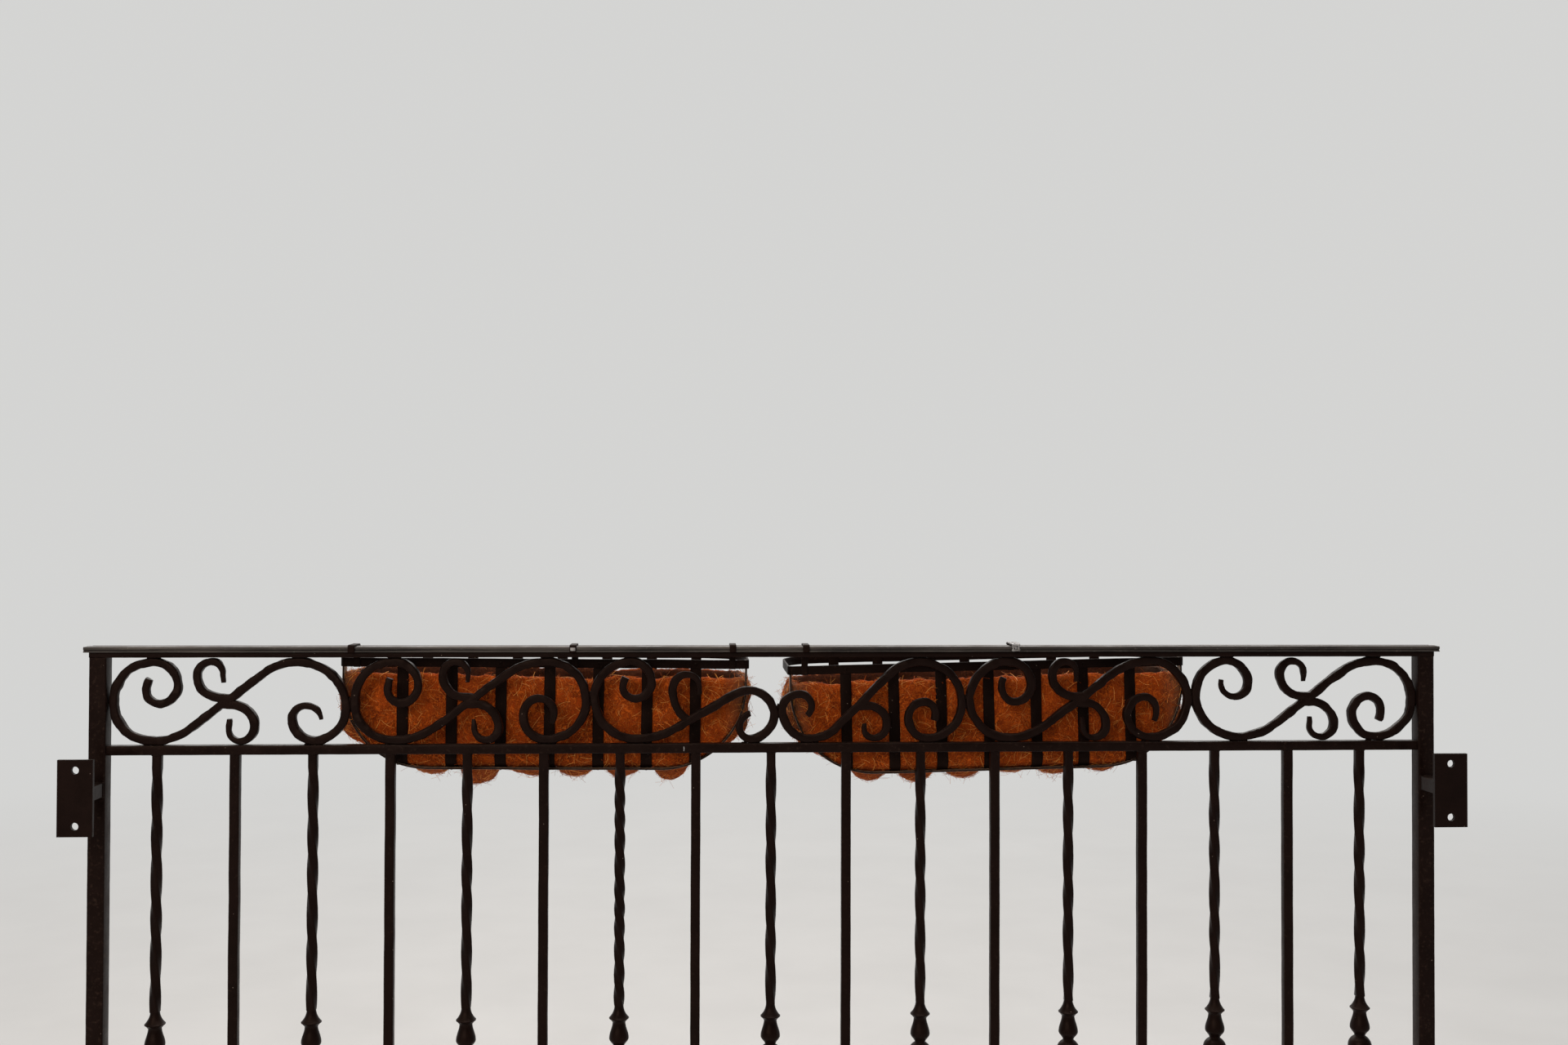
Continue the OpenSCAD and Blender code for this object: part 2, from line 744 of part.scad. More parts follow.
handrail_cap();
top_rail();
frieze_rail();
bottom_rail();
post(0);  // post_left
post(right_post_x);  // post_right
baluster(1);  // baluster_1
baluster(2);  // baluster_2
baluster(3);  // baluster_3
baluster(4);  // baluster_4
baluster(5);  // baluster_5
baluster(6);  // baluster_6
baluster(7);  // baluster_7
baluster(8);  // baluster_8
baluster(9);  // baluster_9
baluster(10);  // baluster_10
baluster(11);  // baluster_11
baluster(12);  // baluster_12
baluster(13);  // baluster_13
baluster(14);  // baluster_14
baluster(15);  // baluster_15
baluster(16);  // baluster_16
baluster(17);  // baluster_17
scroll(0);  // scroll_1
scroll(1);  // scroll_2
scroll(2);  // scroll_3
scroll(3);  // scroll_4
scroll(4);  // scroll_5
scroll(5);  // scroll_6
small_curls(0);  // curls_1
small_curls(1);  // curls_2
small_curls(2);  // curls_3
small_curls(3);  // curls_4
small_curls(4);  // curls_5
small_curls(5);  // curls_6
frieze_welds();
bracket(0, 0);  // bracket_lower_left
bracket(0, upper_flange_z);  // bracket_upper_left
bracket(right_post_x, 0);  // bracket_lower_right
bracket(right_post_x, upper_flange_z);  // bracket_upper_right
basket_frame(left_basket_at, left_rim_up, left_lean, left_strap_shift, left_hooks);  // basket_frame_left
basket_frame(right_basket_at, right_rim_up, right_lean, right_strap_shift, right_hooks);  // basket_frame_right
basket_liner(left_basket_at, left_rim_up, left_lean);  // coir_liner_left
basket_liner(right_basket_at, right_rim_up, right_lean);  // coir_liner_right
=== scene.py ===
"""Looks of a wrought-iron juliet balcony with two coir-lined baskets, in one frame with its solids.

Lengths are millimetres of the part's own frame until a mesh is made, which is in metres.
"""
import logging
import math
from dataclasses import dataclass
from enum import Enum
from typing import Any, Sequence

import bmesh
import bpy
import numpy as np
from mathutils import Matrix, Vector, noise


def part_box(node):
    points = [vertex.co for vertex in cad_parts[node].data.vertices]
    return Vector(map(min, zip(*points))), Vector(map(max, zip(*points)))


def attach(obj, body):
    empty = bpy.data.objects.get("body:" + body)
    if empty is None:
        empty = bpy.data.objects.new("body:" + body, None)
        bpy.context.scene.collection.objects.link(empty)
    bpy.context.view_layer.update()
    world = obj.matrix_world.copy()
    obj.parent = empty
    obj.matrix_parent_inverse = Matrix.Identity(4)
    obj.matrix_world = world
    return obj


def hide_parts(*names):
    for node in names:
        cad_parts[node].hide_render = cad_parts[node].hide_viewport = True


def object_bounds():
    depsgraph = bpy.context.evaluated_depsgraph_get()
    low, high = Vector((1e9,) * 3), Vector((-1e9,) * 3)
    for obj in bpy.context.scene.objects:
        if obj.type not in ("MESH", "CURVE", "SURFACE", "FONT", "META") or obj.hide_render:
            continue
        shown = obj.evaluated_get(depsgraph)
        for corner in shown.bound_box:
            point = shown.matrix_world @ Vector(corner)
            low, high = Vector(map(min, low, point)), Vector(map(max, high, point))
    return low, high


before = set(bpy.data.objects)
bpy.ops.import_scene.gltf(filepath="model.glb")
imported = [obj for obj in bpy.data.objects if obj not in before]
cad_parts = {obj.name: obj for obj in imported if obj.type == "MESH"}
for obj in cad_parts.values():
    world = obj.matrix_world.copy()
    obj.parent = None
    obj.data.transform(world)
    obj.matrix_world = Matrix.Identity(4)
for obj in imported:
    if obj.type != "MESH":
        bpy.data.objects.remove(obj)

CAD_BOUNDS = [list(corner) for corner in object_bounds()]
MM = 0.001
BODY = "root"
SHARP_BEND = 0.9
SHARP_BEND_DEGREES = 50
LOG = logging.getLogger("juliet_balcony")

Tree = bpy.types.NodeTree
Node = bpy.types.Node
Socket = bpy.types.NodeSocket
Piece = bpy.types.Object
Mesh = bpy.types.Mesh
Material = bpy.types.Material
Array = np.ndarray
Rows = Sequence[Sequence[float]] | np.ndarray
Rgb = tuple[float, float, float]
Point = tuple[float, float]


def box_mm(node: str) -> tuple[Array, Array]:
    """Lowest and highest corner of a node.

    Args:
        node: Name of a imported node.

    Returns:
        Both corners in millimetres.
    """
    low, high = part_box(node)
    return np.array(low) / MM, np.array(high) / MM


# Node trees

def put(tree: Tree, kind: str, inputs: dict[Any, Any] | None = None, **settings: Any) -> Node:
    """Adds a node, sets it and links it.

    Args:
        tree: Tree that the node goes into.
        kind: Blender's name for the node's type.
        inputs: Input name or number to a value, or to the output socket that feeds it.
        settings: Properties of the node.

    Returns:
        The new node.
    """
    node = tree.nodes.new(kind)
    for name, value in settings.items():
        setattr(node, name, value)
    for key, value in (inputs or {}).items():
        if isinstance(value, Socket):
            tree.links.new(value, node.inputs[key])
        else:
            node.inputs[key].default_value = value
    return node


def geo(tree: Tree, kind: str, inputs: dict[Any, Any] | None = None, **settings: Any) -> Socket:
    """First output of a geometry node, whose kind is named without GeometryNode."""
    return put(tree, "GeometryNode" + kind, inputs, **settings).outputs[0]


def maths(tree: Tree, operation: str, *values: Any) -> Socket:
    """Output of a Math node on numbers or sockets."""
    return put(tree, "ShaderNodeMath", dict(enumerate(values)), operation=operation).outputs[0]


def product(tree: Tree, first: Any, second: Any) -> Socket:
    """One number or socket times another."""
    return maths(tree, "MULTIPLY", first, second)


def vector_maths(tree: Tree, operation: str, *values: Any) -> Socket:
    """Output of a Vector Math node on vectors or sockets: a number for LENGTH, or else a vector."""
    node = put(tree, "ShaderNodeVectorMath", dict(enumerate(values)), operation=operation)
    return node.outputs["Value" if operation == "LENGTH" else "Vector"]


def scaled(tree: Tree, vector: Any, factor: Any) -> Socket:
    """A vector times a number."""
    return put(tree, "ShaderNodeVectorMath", {0: vector, "Scale": factor},
               operation="SCALE").outputs["Vector"]


def ranged(tree: Tree, value: Any, low: Any, high: Any, to_low: Any = 0.0, to_high: Any = 1.0) -> Socket:
    """A value carried from one range to another, clamped."""
    return put(tree, "ShaderNodeMapRange",
               {"Value": value, "From Min": low, "From Max": high, "To Min": to_low,
                "To Max": to_high}).outputs[0]


def cloud(tree: Tree, place: Any, scale: Any, detail: float = 3.0, roughness: float = 0.55) -> Node:
    """A three-dimensional noise texture at a place."""
    return put(tree, "ShaderNodeTexNoise",
               {"Vector": place, "Scale": scale, "Detail": detail, "Roughness": roughness})


def blended(tree: Tree, factor: Any, first: Any, second: Any) -> Socket:
    """Two colours, or sockets of them, mixed by a factor."""
    first, second = (colour if isinstance(colour, Socket) else (*colour, 1.0)
                     for colour in (first, second))
    return put(tree, "ShaderNodeMix", {0: factor, 6: first, 7: second}, data_type="RGBA").outputs[2]


def part_of(tree: Tree, vector: Any, axis: int) -> Socket:
    """One part of a vector: 0 for X, 1 for Y, 2 for Z."""
    return put(tree, "ShaderNodeSeparateXYZ", {0: vector}).outputs[axis]


def own_place(tree: Tree) -> Socket:
    """Object coordinates, for a pattern that stays with its piece."""
    return put(tree, "ShaderNodeTexCoord").outputs["Object"]


def carried(tree: Tree, name: str) -> Socket:
    """A number that the piece's mesh carries at each point."""
    return put(tree, "ShaderNodeAttribute", attribute_name=name).outputs["Fac"]


def new_tree(name: str, kind: str, inputs: Sequence[tuple[str, str, Any]],
             outputs: Sequence[tuple[str, str]]) -> tuple[Tree, Any, Any]:
    """Makes a node group with named sockets.

    Args:
        name: Name of the group.
        kind: ShaderNodeTree or GeometryNodeTree.
        inputs: Name, kind and default value of each input.
        outputs: Name and kind of each output.

    Returns:
        The tree, the sockets that hold what it is given, by name, and its output node.
    """
    tree = bpy.data.node_groups.new(name, kind)
    for label, socket, default in inputs:
        item = tree.interface.new_socket(name=label, in_out="INPUT", socket_type="NodeSocket" + socket)
        if default is not None:
            item.default_value = default
    for label, socket in outputs:
        tree.interface.new_socket(name=label, in_out="OUTPUT", socket_type="NodeSocket" + socket)
    return tree, tree.nodes.new("NodeGroupInput").outputs, tree.nodes.new("NodeGroupOutput")


def link_outputs(tree: Tree, group_out: Any, **sockets: Any) -> None:
    """Feeds a group's outputs by name, with _ standing for a space."""
    for name, socket in sockets.items():
        tree.links.new(socket, group_out.inputs[name.replace("_", " ")])


def named(tree: Tree, name: str, kind: str = "FLOAT") -> Socket:
    """A named attribute of the geometry."""
    return geo(tree, "InputNamedAttribute", {"Name": name}, data_type=kind)


# Shader groups that more than one finish uses

def bar_surface_group() -> Tree:
    """Paint on forged bar: worn arrises, dust on what faces up, dents and fine grain.

    Returns:
        A shader group that puts out masks and a height.
    """
    tree, given, outside = new_tree(
        "bar_surface", "ShaderNodeTree",
        [("Place", "Vector", None), ("Arris", "Float", 0.0),
         ("Wear", "Float", 0.5), ("Dust", "Float", 0.5)],
        [("Patches", "Float"), ("Worn", "Float"),
         ("Dusty", "Float"), ("Speck", "Float"), ("Height", "Float")])
    place = given["Place"]
    broad = cloud(tree, place, 28.0, 4.0, 0.6).outputs[0]
    middle = cloud(tree, place, 190.0, 4.0, 0.6).outputs[0]
    fine = cloud(tree, place, 1300.0, 3.0, 0.6).outputs[0]
    rubbed = maths(tree, "ADD", given["Arris"],
                   product(tree, maths(tree, "SUBTRACT", middle, 0.5), 1.3))
    edge = maths(tree, "SUBTRACT", 1.3, product(tree, given["Wear"], 0.6))
    worn = ranged(tree, rubbed, edge, maths(tree, "ADD", edge, 0.22))
    normal = put(tree, "ShaderNodeNewGeometry").outputs["Normal"]
    facing = ranged(tree, part_of(tree, normal, 2), 0.25, 0.95)
    settled = ranged(tree, maths(tree, "ADD", broad, product(tree, fine, 0.5)), 0.5, 1.0)
    dusty = product(tree, product(tree, facing, settled), given["Dust"])
    cells = put(tree, "ShaderNodeTexVoronoi", {"Vector": place, "Scale": 85.0}, feature="F1")
    empty_cells, speck_r = 0.72, 0.05
    chosen = maths(tree, "GREATER_THAN", part_of(tree, cells.outputs["Color"], 0), empty_cells)
    speck = product(tree, chosen, maths(tree, "LESS_THAN", cells.outputs["Distance"], speck_r))
    height = maths(tree, "ADD", product(tree, middle, 0.75), product(tree, fine, 0.25))
    link_outputs(tree, outside, Patches=broad, Worn=worn, Dusty=dusty, Speck=speck, Height=height)
    return tree


def felt_group() -> Tree:
    """Matted coconut fibre: strands in three directions over soft clumps.

    Returns:
        A shader group that puts out strand and clump masks and a height.
    """
    tree, given, outside = new_tree(
        "coir_felt", "ShaderNodeTree",
        [("Place", "Vector", None), ("Strands", "Float", 700.0)],
        [("Strand", "Float"), ("Clump", "Float"), ("Height", "Float")])
    strand = None
    directions = ((0.5, 0.5, 0.2), (-0.3, 1.6, 0.4), (0.2, 2.6, -0.5))
    drawn_out = (12.0, 1.0, 1.0)
    wander = scaled(tree, cloud(tree, given["Place"], 42.0).outputs[1], 0.022)
    bent = vector_maths(tree, "ADD", given["Place"], wander)
    for turn in directions:
        turned = put(tree, "ShaderNodeMapping",
                     {"Vector": bent, "Rotation": turn, "Scale": drawn_out},
                     vector_type="TEXTURE").outputs[0]
        layer = cloud(tree, turned, given["Strands"], 2.0, 0.6).outputs[0]
        layer = ranged(tree, layer, 0.52, 0.63)
        strand = layer if strand is None else maths(tree, "MAXIMUM", strand, layer)
    clump = cloud(tree, given["Place"], 45.0, 5.0, 0.65).outputs[0]
    height = maths(tree, "ADD", strand, product(tree, clump, 0.8))
    link_outputs(tree, outside, Strand=strand, Clump=clump, Height=height)
    return tree


# Finishes

class Groups:
    """Shader groups, each built once and placed in every material that uses it."""

    def __init__(self) -> None:
        """Builds the groups."""
        self.bar_surface = bar_surface_group()
        self.felt = felt_group()


def new_material(name: str) -> tuple[Material, Tree, Node]:
    """A material with nodes.

    Args:
        name: Name of the finish.

    Returns:
        The material, its tree and its Principled BSDF.
    """
    material = bpy.data.materials.new(name)
    material.use_nodes = True
    tree = material.node_tree
    return material, tree, tree.nodes["Principled BSDF"]


def group_node(tree: Tree, group: Tree, **inputs: Any) -> Node:
    """Places a shader group and feeds its inputs by name."""
    return put(tree, "ShaderNodeGroup", inputs, node_tree=group)


def feed_shader(tree: Tree, shader: Node, colour: Any, height: Any = None,
                depth_mm: float = 1.0, strength: float = 1.0) -> None:
    """Feeds a shader's colour, and its normal through a Bump node.

    Args:
        tree: The material's tree.
        shader: Its Principled BSDF.
        colour: Socket of the colour.
        height: Socket of the bump's height, or None where the surface has no bump.
        depth_mm: Depth of the bump in millimetres.
        strength: Share of the bump that shows, from 0 to 1.
    """
    tree.links.new(colour, shader.inputs["Base Color"])
    if height is not None:
        bump = put(tree, "ShaderNodeBump",
                   {"Strength": strength, "Distance": depth_mm * MM, "Height": height})
        tree.links.new(bump.outputs[0], shader.inputs["Normal"])


@dataclass(frozen=True)
class PaintedIron:
    """Dark paint on forged iron, with worn arrises and settled dust."""

    name: str
    paint: Rgb
    thin_paint: Rgb
    bare: Rgb
    dust: Rgb
    roughness: float = 0.42
    wear: float = 0.5
    dusting: float = 0.5
    bump_mm: float = 0.5
    gloss: float = 0.22
    streaks: float = 0.0
    fleck: Rgb = (0.300, 0.240, 0.200)
    reflected: Rgb = (1.0, 0.72, 0.62)

    def material(self, groups: Groups) -> Material:
        """The finish as a node material.

        Args:
            groups: The shared shader groups.

        Returns:
            The material.
        """
        material, tree, shader = new_material(self.name)
        place = own_place(tree)
        surface = group_node(tree, groups.bar_surface, Place=place, Arris=carried(tree, "arris"),
                             Wear=self.wear, Dust=self.dusting)
        patches = ranged(tree, surface.outputs["Patches"], 0.35, 0.7)
        colour = blended(tree, patches, self.paint, self.thin_paint)
        if self.streaks:
            colour = self.streaked(tree, place, colour)
        colour = blended(tree, surface.outputs["Worn"], colour, self.bare)
        colour = blended(tree, surface.outputs["Dusty"], colour, self.dust)
        colour = blended(tree, product(tree, surface.outputs["Speck"], 0.8), colour, self.fleck)
        rough = ranged(tree, surface.outputs["Patches"], 0.3, 0.7,
                       self.roughness - 0.09, self.roughness + 0.12)
        rough = maths(tree, "ADD", rough, product(tree, surface.outputs["Dusty"], 0.3))
        tree.links.new(rough, shader.inputs["Roughness"])
        feed_shader(tree, shader, colour, surface.outputs["Height"], self.bump_mm, 0.6)
        shader.inputs["Specular IOR Level"].default_value = self.gloss
        shader.inputs["Specular Tint"].default_value = (*self.reflected, 1.0)
        return material

    def streaked(self, tree: Tree, place: Socket, colour: Socket) -> Socket:
        """Adds pale lines along X to the paint and slow lighter stretches, which are a painted reflection
        of the sky along the cap; the lines are strongest on those stretches.

        Args:
            tree: The material's tree.
            place: The piece's own coordinates.
            colour: Colour of the paint so far.

        Returns:
            The streaked colour.
        """
        slow, along = (put(tree, "ShaderNodeMapping", {"Vector": place, "Scale": scale}).outputs[0]
                       for scale in ((1.0, 0.2, 0.2), (0.02, 1.0, 1.0)))
        # The slow lighter stretches along X are a painted reflection of the sky on the cap, not
        # weathering.
        painted_sheen = ranged(tree, cloud(tree, slow, 3.4, 3.0, 0.6).outputs[0], 0.40, 0.58)
        lines = ranged(tree, cloud(tree, along, 420.0, 3.0, 0.6).outputs[0], 0.38, 0.62)
        share = product(tree, maths(tree, "ADD", painted_sheen, 0.25), self.streaks)
        colour = blended(tree, painted_sheen, self.paint, colour)
        return blended(tree, product(tree, lines, share), colour, self.dust)


@dataclass(frozen=True)
class BareMetal:
    """Bright metal, spotted and dull in places, as on the hook's plate, the tie and the paint chip."""

    name: str
    colour: Rgb
    tarnish: Rgb
    roughness: float = 0.3

    def material(self, groups: Groups) -> Material:
        """The finish as a node material.

        Args:
            groups: The shared shader groups.

        Returns:
            The material.
        """
        material, tree, shader = new_material(self.name)
        surface = group_node(tree, groups.bar_surface, Place=own_place(tree), Arris=0.0, Wear=0.4,
                             Dust=0.3)
        spots = ranged(tree, surface.outputs["Height"], 0.45, 0.7)
        tree.links.new(ranged(tree, spots, 0.0, 1.0, self.roughness, self.roughness + 0.3),
                       shader.inputs["Roughness"])
        feed_shader(tree, shader, blended(tree, spots, self.colour, self.tarnish),
                    surface.outputs["Height"], depth_mm=0.3, strength=0.5)
        shader.inputs["Metallic"].default_value = 0.9
        return material


@dataclass(frozen=True)
class CoirFelt:
    """Felted coconut fibre, darker where it is damp and matted."""

    name: str
    damp: Rgb
    body: Rgb
    dry: Rgb
    weathered: Rgb = (0.170, 0.100, 0.052)
    # Dark tone of the liner's inside: soil stain and painted shade of the basket's hollow.
    soil_and_shade: Rgb = (0.028, 0.016, 0.010)

    def material(self, groups: Groups) -> Material:
        """The finish as a node material.

        Args:
            groups: The shared shader groups.

        Returns:
            The material.
        """
        material, tree, shader = new_material(self.name)
        felt = group_node(tree, groups.felt, Place=own_place(tree), Strands=520.0)
        clumps = ranged(tree, felt.outputs["Clump"], 0.30, 0.56)
        colour = blended(tree, clumps, self.damp, self.body)
        colour = blended(tree, product(tree, felt.outputs["Strand"], 0.9), colour, self.dry)
        # Inside faces below the top edge are darkened: soil stain and painted shade of the basket's
        # hollow.
        for name, strength, tone in (("faded", 0.8, self.weathered), ("stained_and_shaded", 0.85, self.soil_and_shade)):
            colour = blended(tree, product(tree, carried(tree, name), strength), colour, tone)
        feed_shader(tree, shader, colour, felt.outputs["Height"], depth_mm=1.6, strength=0.9)
        shader.inputs["Roughness"].default_value = 0.9
        shader.inputs["Specular IOR Level"].default_value = 0.15
        return material


@dataclass(frozen=True)
class CoirStrand:
    """Single fibres that stand on the felt, each with its own tint."""

    name: str
    dark: Rgb
    light: Rgb

    def material(self, _groups: Groups) -> Material:
        """The finish as a node material.

        Args:
            _groups: The shared shader groups, of which it needs none.

        Returns:
            The material.
        """
        material, tree, shader = new_material(self.name)
        patchy = ranged(tree, cloud(tree, own_place(tree), 160.0).outputs[0], 0.35, 0.65, -0.2, 0.2)
        mottled = maths(tree, "ADD", carried(tree, "tint"), patchy)
        feed_shader(tree, shader, blended(tree, ranged(tree, mottled, 0.35, 1.1), self.dark, self.light))
        tree.links.new(ranged(tree, mottled, 0.0, 1.0, 0.75, 0.5), shader.inputs["Roughness"])
        shader.inputs["Specular IOR Level"].default_value = 0.2
        return material


class Finish(Enum):
    """Every finish of the object."""

    IRON = PaintedIron("wrought_iron", (0.0062, 0.0029, 0.0023), (0.0100, 0.0048, 0.0039),
                       (0.026, 0.015, 0.011), (0.060, 0.043, 0.033), roughness=0.36, wear=0.4,
                       dusting=0.3, gloss=0.08)
    # The cap's colours are about twice as light as the other iron's: its paint and dust, and in part a
    # painted reflection of the bright sky on its moulding.
    CAP = PaintedIron("cap_iron", (0.012, 0.0095, 0.0085), (0.031, 0.0255, 0.0230),
                      (0.085, 0.074, 0.068), (0.130, 0.111, 0.098), roughness=0.38, wear=0.7,
                      dusting=0.7, bump_mm=0.25, gloss=0.25, streaks=0.45,
                      reflected=(1.0, 0.97, 0.96))
    STRAP = PaintedIron("strap_iron", (0.0060, 0.0029, 0.0023), (0.0105, 0.0050, 0.0038),
                        (0.032, 0.015, 0.010), (0.050, 0.036, 0.028), roughness=0.5, wear=0.25,
                        dusting=0.3, bump_mm=0.3, gloss=0.06)
    # The keel strap's arrises are painted far lighter than the other straps', at full wear: worn paint
    # and a painted highlight along its edges.
    KEEL = PaintedIron("keel_iron_painted_highlight", (0.0070, 0.0034, 0.0026), (0.0150, 0.0075, 0.0055),
                       (0.200, 0.140, 0.100), (0.060, 0.044, 0.034), roughness=0.42, wear=1.0,
                       dusting=0.3, bump_mm=0.3, gloss=0.2)
    BRIGHT = BareMetal("bright_metal", (0.34, 0.33, 0.33), (0.11, 0.10, 0.09), roughness=0.42)
    COIR = CoirFelt("coir_felt", (0.110, 0.014, 0.0012), (0.390, 0.053, 0.0030), (0.620, 0.115, 0.0095))
    STRAND = CoirStrand("coir_strand", (0.400, 0.066, 0.0042), (1.000, 0.410, 0.0900))


class Palette:
    """Materials by finish, each made when it is first asked for."""

    def __init__(self) -> None:
        """Builds the shared groups and an empty store."""
        self.groups = Groups()
        self.made: dict[Finish, Material] = {}

    def of(self, finish: Finish) -> Material:
        """The material of a finish."""
        if finish not in self.made:
            self.made[finish] = finish.value.material(self.groups)
        return self.made[finish]


# Geometry Nodes trees

def carrying(tree: Tree, geometry: Any, name: str, value: Any, domain: str = "POINT") -> Socket:
    """Geometry with a number stored on it for its material."""
    return geo(tree, "StoreNamedAttribute",
               {"Geometry": geometry, "Name": name, "Value": value},
               data_type="FLOAT", domain=domain)


def roughened(tree: Tree, mesh: Any, scale: Any, depth: Any, gain: float) -> Socket:
    """Moves a mesh's points in and out by a noise.

    Args:
        tree: The geometry tree.
        mesh: Socket of the mesh.
        scale: Scale of the noise.
        depth: Depth of the dents in metres.
        gain: Factor on the depth, because the noise seldom reaches its limits.

    Returns:
        Socket of the rough mesh.
    """
    place = geo(tree, "InputPosition")
    normal = geo(tree, "InputNormal")
    dents = maths(tree, "SUBTRACT", cloud(tree, place, scale, 2.0).outputs[0], 0.5)
    offset = scaled(tree, normal, product(tree, dents, product(tree, depth, gain)))
    return geo(tree, "SetPosition", {"Geometry": mesh, "Offset": offset})


def drawn(tree: Tree, low: Any, high: Any, seed: Any) -> Socket:
    """A random number between two, drawn for each point."""
    return put(tree, "FunctionNodeRandomValue", {2: low, 3: high, "Seed": seed},
               data_type="FLOAT").outputs[1]


def bar_tree() -> Tree:
    """Bar or strap along polylines, with round arrises, a hammered face and a slight waver.

    The lines carry across, the vector that the section's width lies along, twist, an angle,
    and swell, a factor on the section.

    Returns:
        The tree.
    """
    tree, given, outside = new_tree(
        "forged_bar", "GeometryNodeTree",
        [("Geometry", "Geometry", None), ("Width", "Float", 0.0125),
         ("Depth", "Float", 0.0125), ("Arris", "Float", 0.002),
         ("Arris Steps", "Int", 3), ("Waver", "Float", 0.0004),
         ("Waver Scale", "Float", 14.0), ("Hammering", "Float", 0.0002),
         ("Hammer Scale", "Float", 70.0), ("Material", "Material", None)],
        [("Geometry", "Geometry")])
    line = geo(tree, "MeshToCurve", {"Mesh": given["Geometry"]})
    line = geo(tree, "SetCurveNormal",
               {"Curve": line, "Normal": named(tree, "across", "FLOAT_VECTOR")}, mode="FREE")
    line = geo(tree, "SetCurveTilt", {"Curve": line, "Tilt": named(tree, "twist")})
    place = geo(tree, "InputPosition")
    noise_gain = 4.0
    drift = vector_maths(tree, "SUBTRACT", cloud(tree, place, given["Waver Scale"], 1.0).outputs[1],
                         (0.5, 0.5, 0.5))
    reach = product(tree, given["Waver"], noise_gain)
    line = geo(tree, "SetPosition", {"Geometry": line, "Offset": scaled(tree, drift, reach)})
    square = geo(tree, "CurvePrimitiveQuadrilateral",
                 {"Width": given["Width"], "Height": given["Depth"]})
    section = geo(tree, "FilletCurve",
                  {"Curve": square, "Count": given["Arris Steps"],
                   "Radius": given["Arris"]}, mode="POLY")
    corner = vector_maths(tree, "ABSOLUTE", place)
    near_side, near_face = (
        maths(tree, "DIVIDE", part_of(tree, corner, axis), product(tree, given[size], 0.5))
        for axis, size in enumerate(("Width", "Depth")))
    arris = ranged(tree, product(tree, near_side, near_face), 0.35, 0.8)
    section = carrying(tree, section, "arris", arris)
    mesh = geo(tree, "CurveToMesh",
               {"Curve": line, "Profile Curve": section, "Scale": named(tree, "swell"),
                "Fill Caps": True})
    mesh = roughened(tree, mesh, given["Hammer Scale"], given["Hammering"], noise_gain)
    link_outputs(tree, outside, Geometry=finished(tree, mesh, given["Material"]))
    return tree


def finished(tree: Tree, mesh: Any, material: Any) -> Socket:
    """Ends a tree: smooth faces with sharp corners kept, instances realized, material set.

    Args:
        tree: The geometry tree.
        mesh: Socket of the shape so far.
        material: Socket of the material.

    Returns:
        Socket of the finished shape.
    """
    mesh = geo(tree, "RealizeInstances", {"Geometry": mesh})
    mesh = geo(tree, "SetShadeSmooth", {"Geometry": mesh, "Shade Smooth": True}, domain="FACE")
    bend = geo(tree, "InputMeshEdgeAngle")
    gentle = put(tree, "FunctionNodeCompare", {0: bend, 1: SHARP_BEND}, operation="LESS_THAN").outputs[0]
    mesh = geo(tree, "SetShadeSmooth", {"Geometry": mesh, "Shade Smooth": gentle}, domain="EDGE")
    return geo(tree, "SetMaterial", {"Geometry": mesh, "Material": material})


def bead_tree() -> Tree:
    """Lumps of weld metal or rivet heads on points that carry bead, their half sizes.

    Returns:
        The tree.
    """
    tree, given, outside = new_tree(
        "beads", "GeometryNodeTree",
        [("Geometry", "Geometry", None), ("Roughness", "Float", 0.0006),
         ("Lump Scale", "Float", 260.0), ("Material", "Material", None)],
        [("Geometry", "Geometry")])
    ball = geo(tree, "MeshIcoSphere", {"Radius": 1.0, "Subdivisions": 3})
    beads = geo(tree, "InstanceOnPoints",
                {"Points": given["Geometry"], "Instance": ball,
                 "Scale": named(tree, "bead", "FLOAT_VECTOR")})
    mesh = geo(tree, "RealizeInstances", {"Geometry": beads})
    mesh = roughened(tree, mesh, given["Lump Scale"], given["Roughness"], 3.0)
    link_outputs(tree, outside, Geometry=finished(tree, mesh, given["Material"]))
    return tree


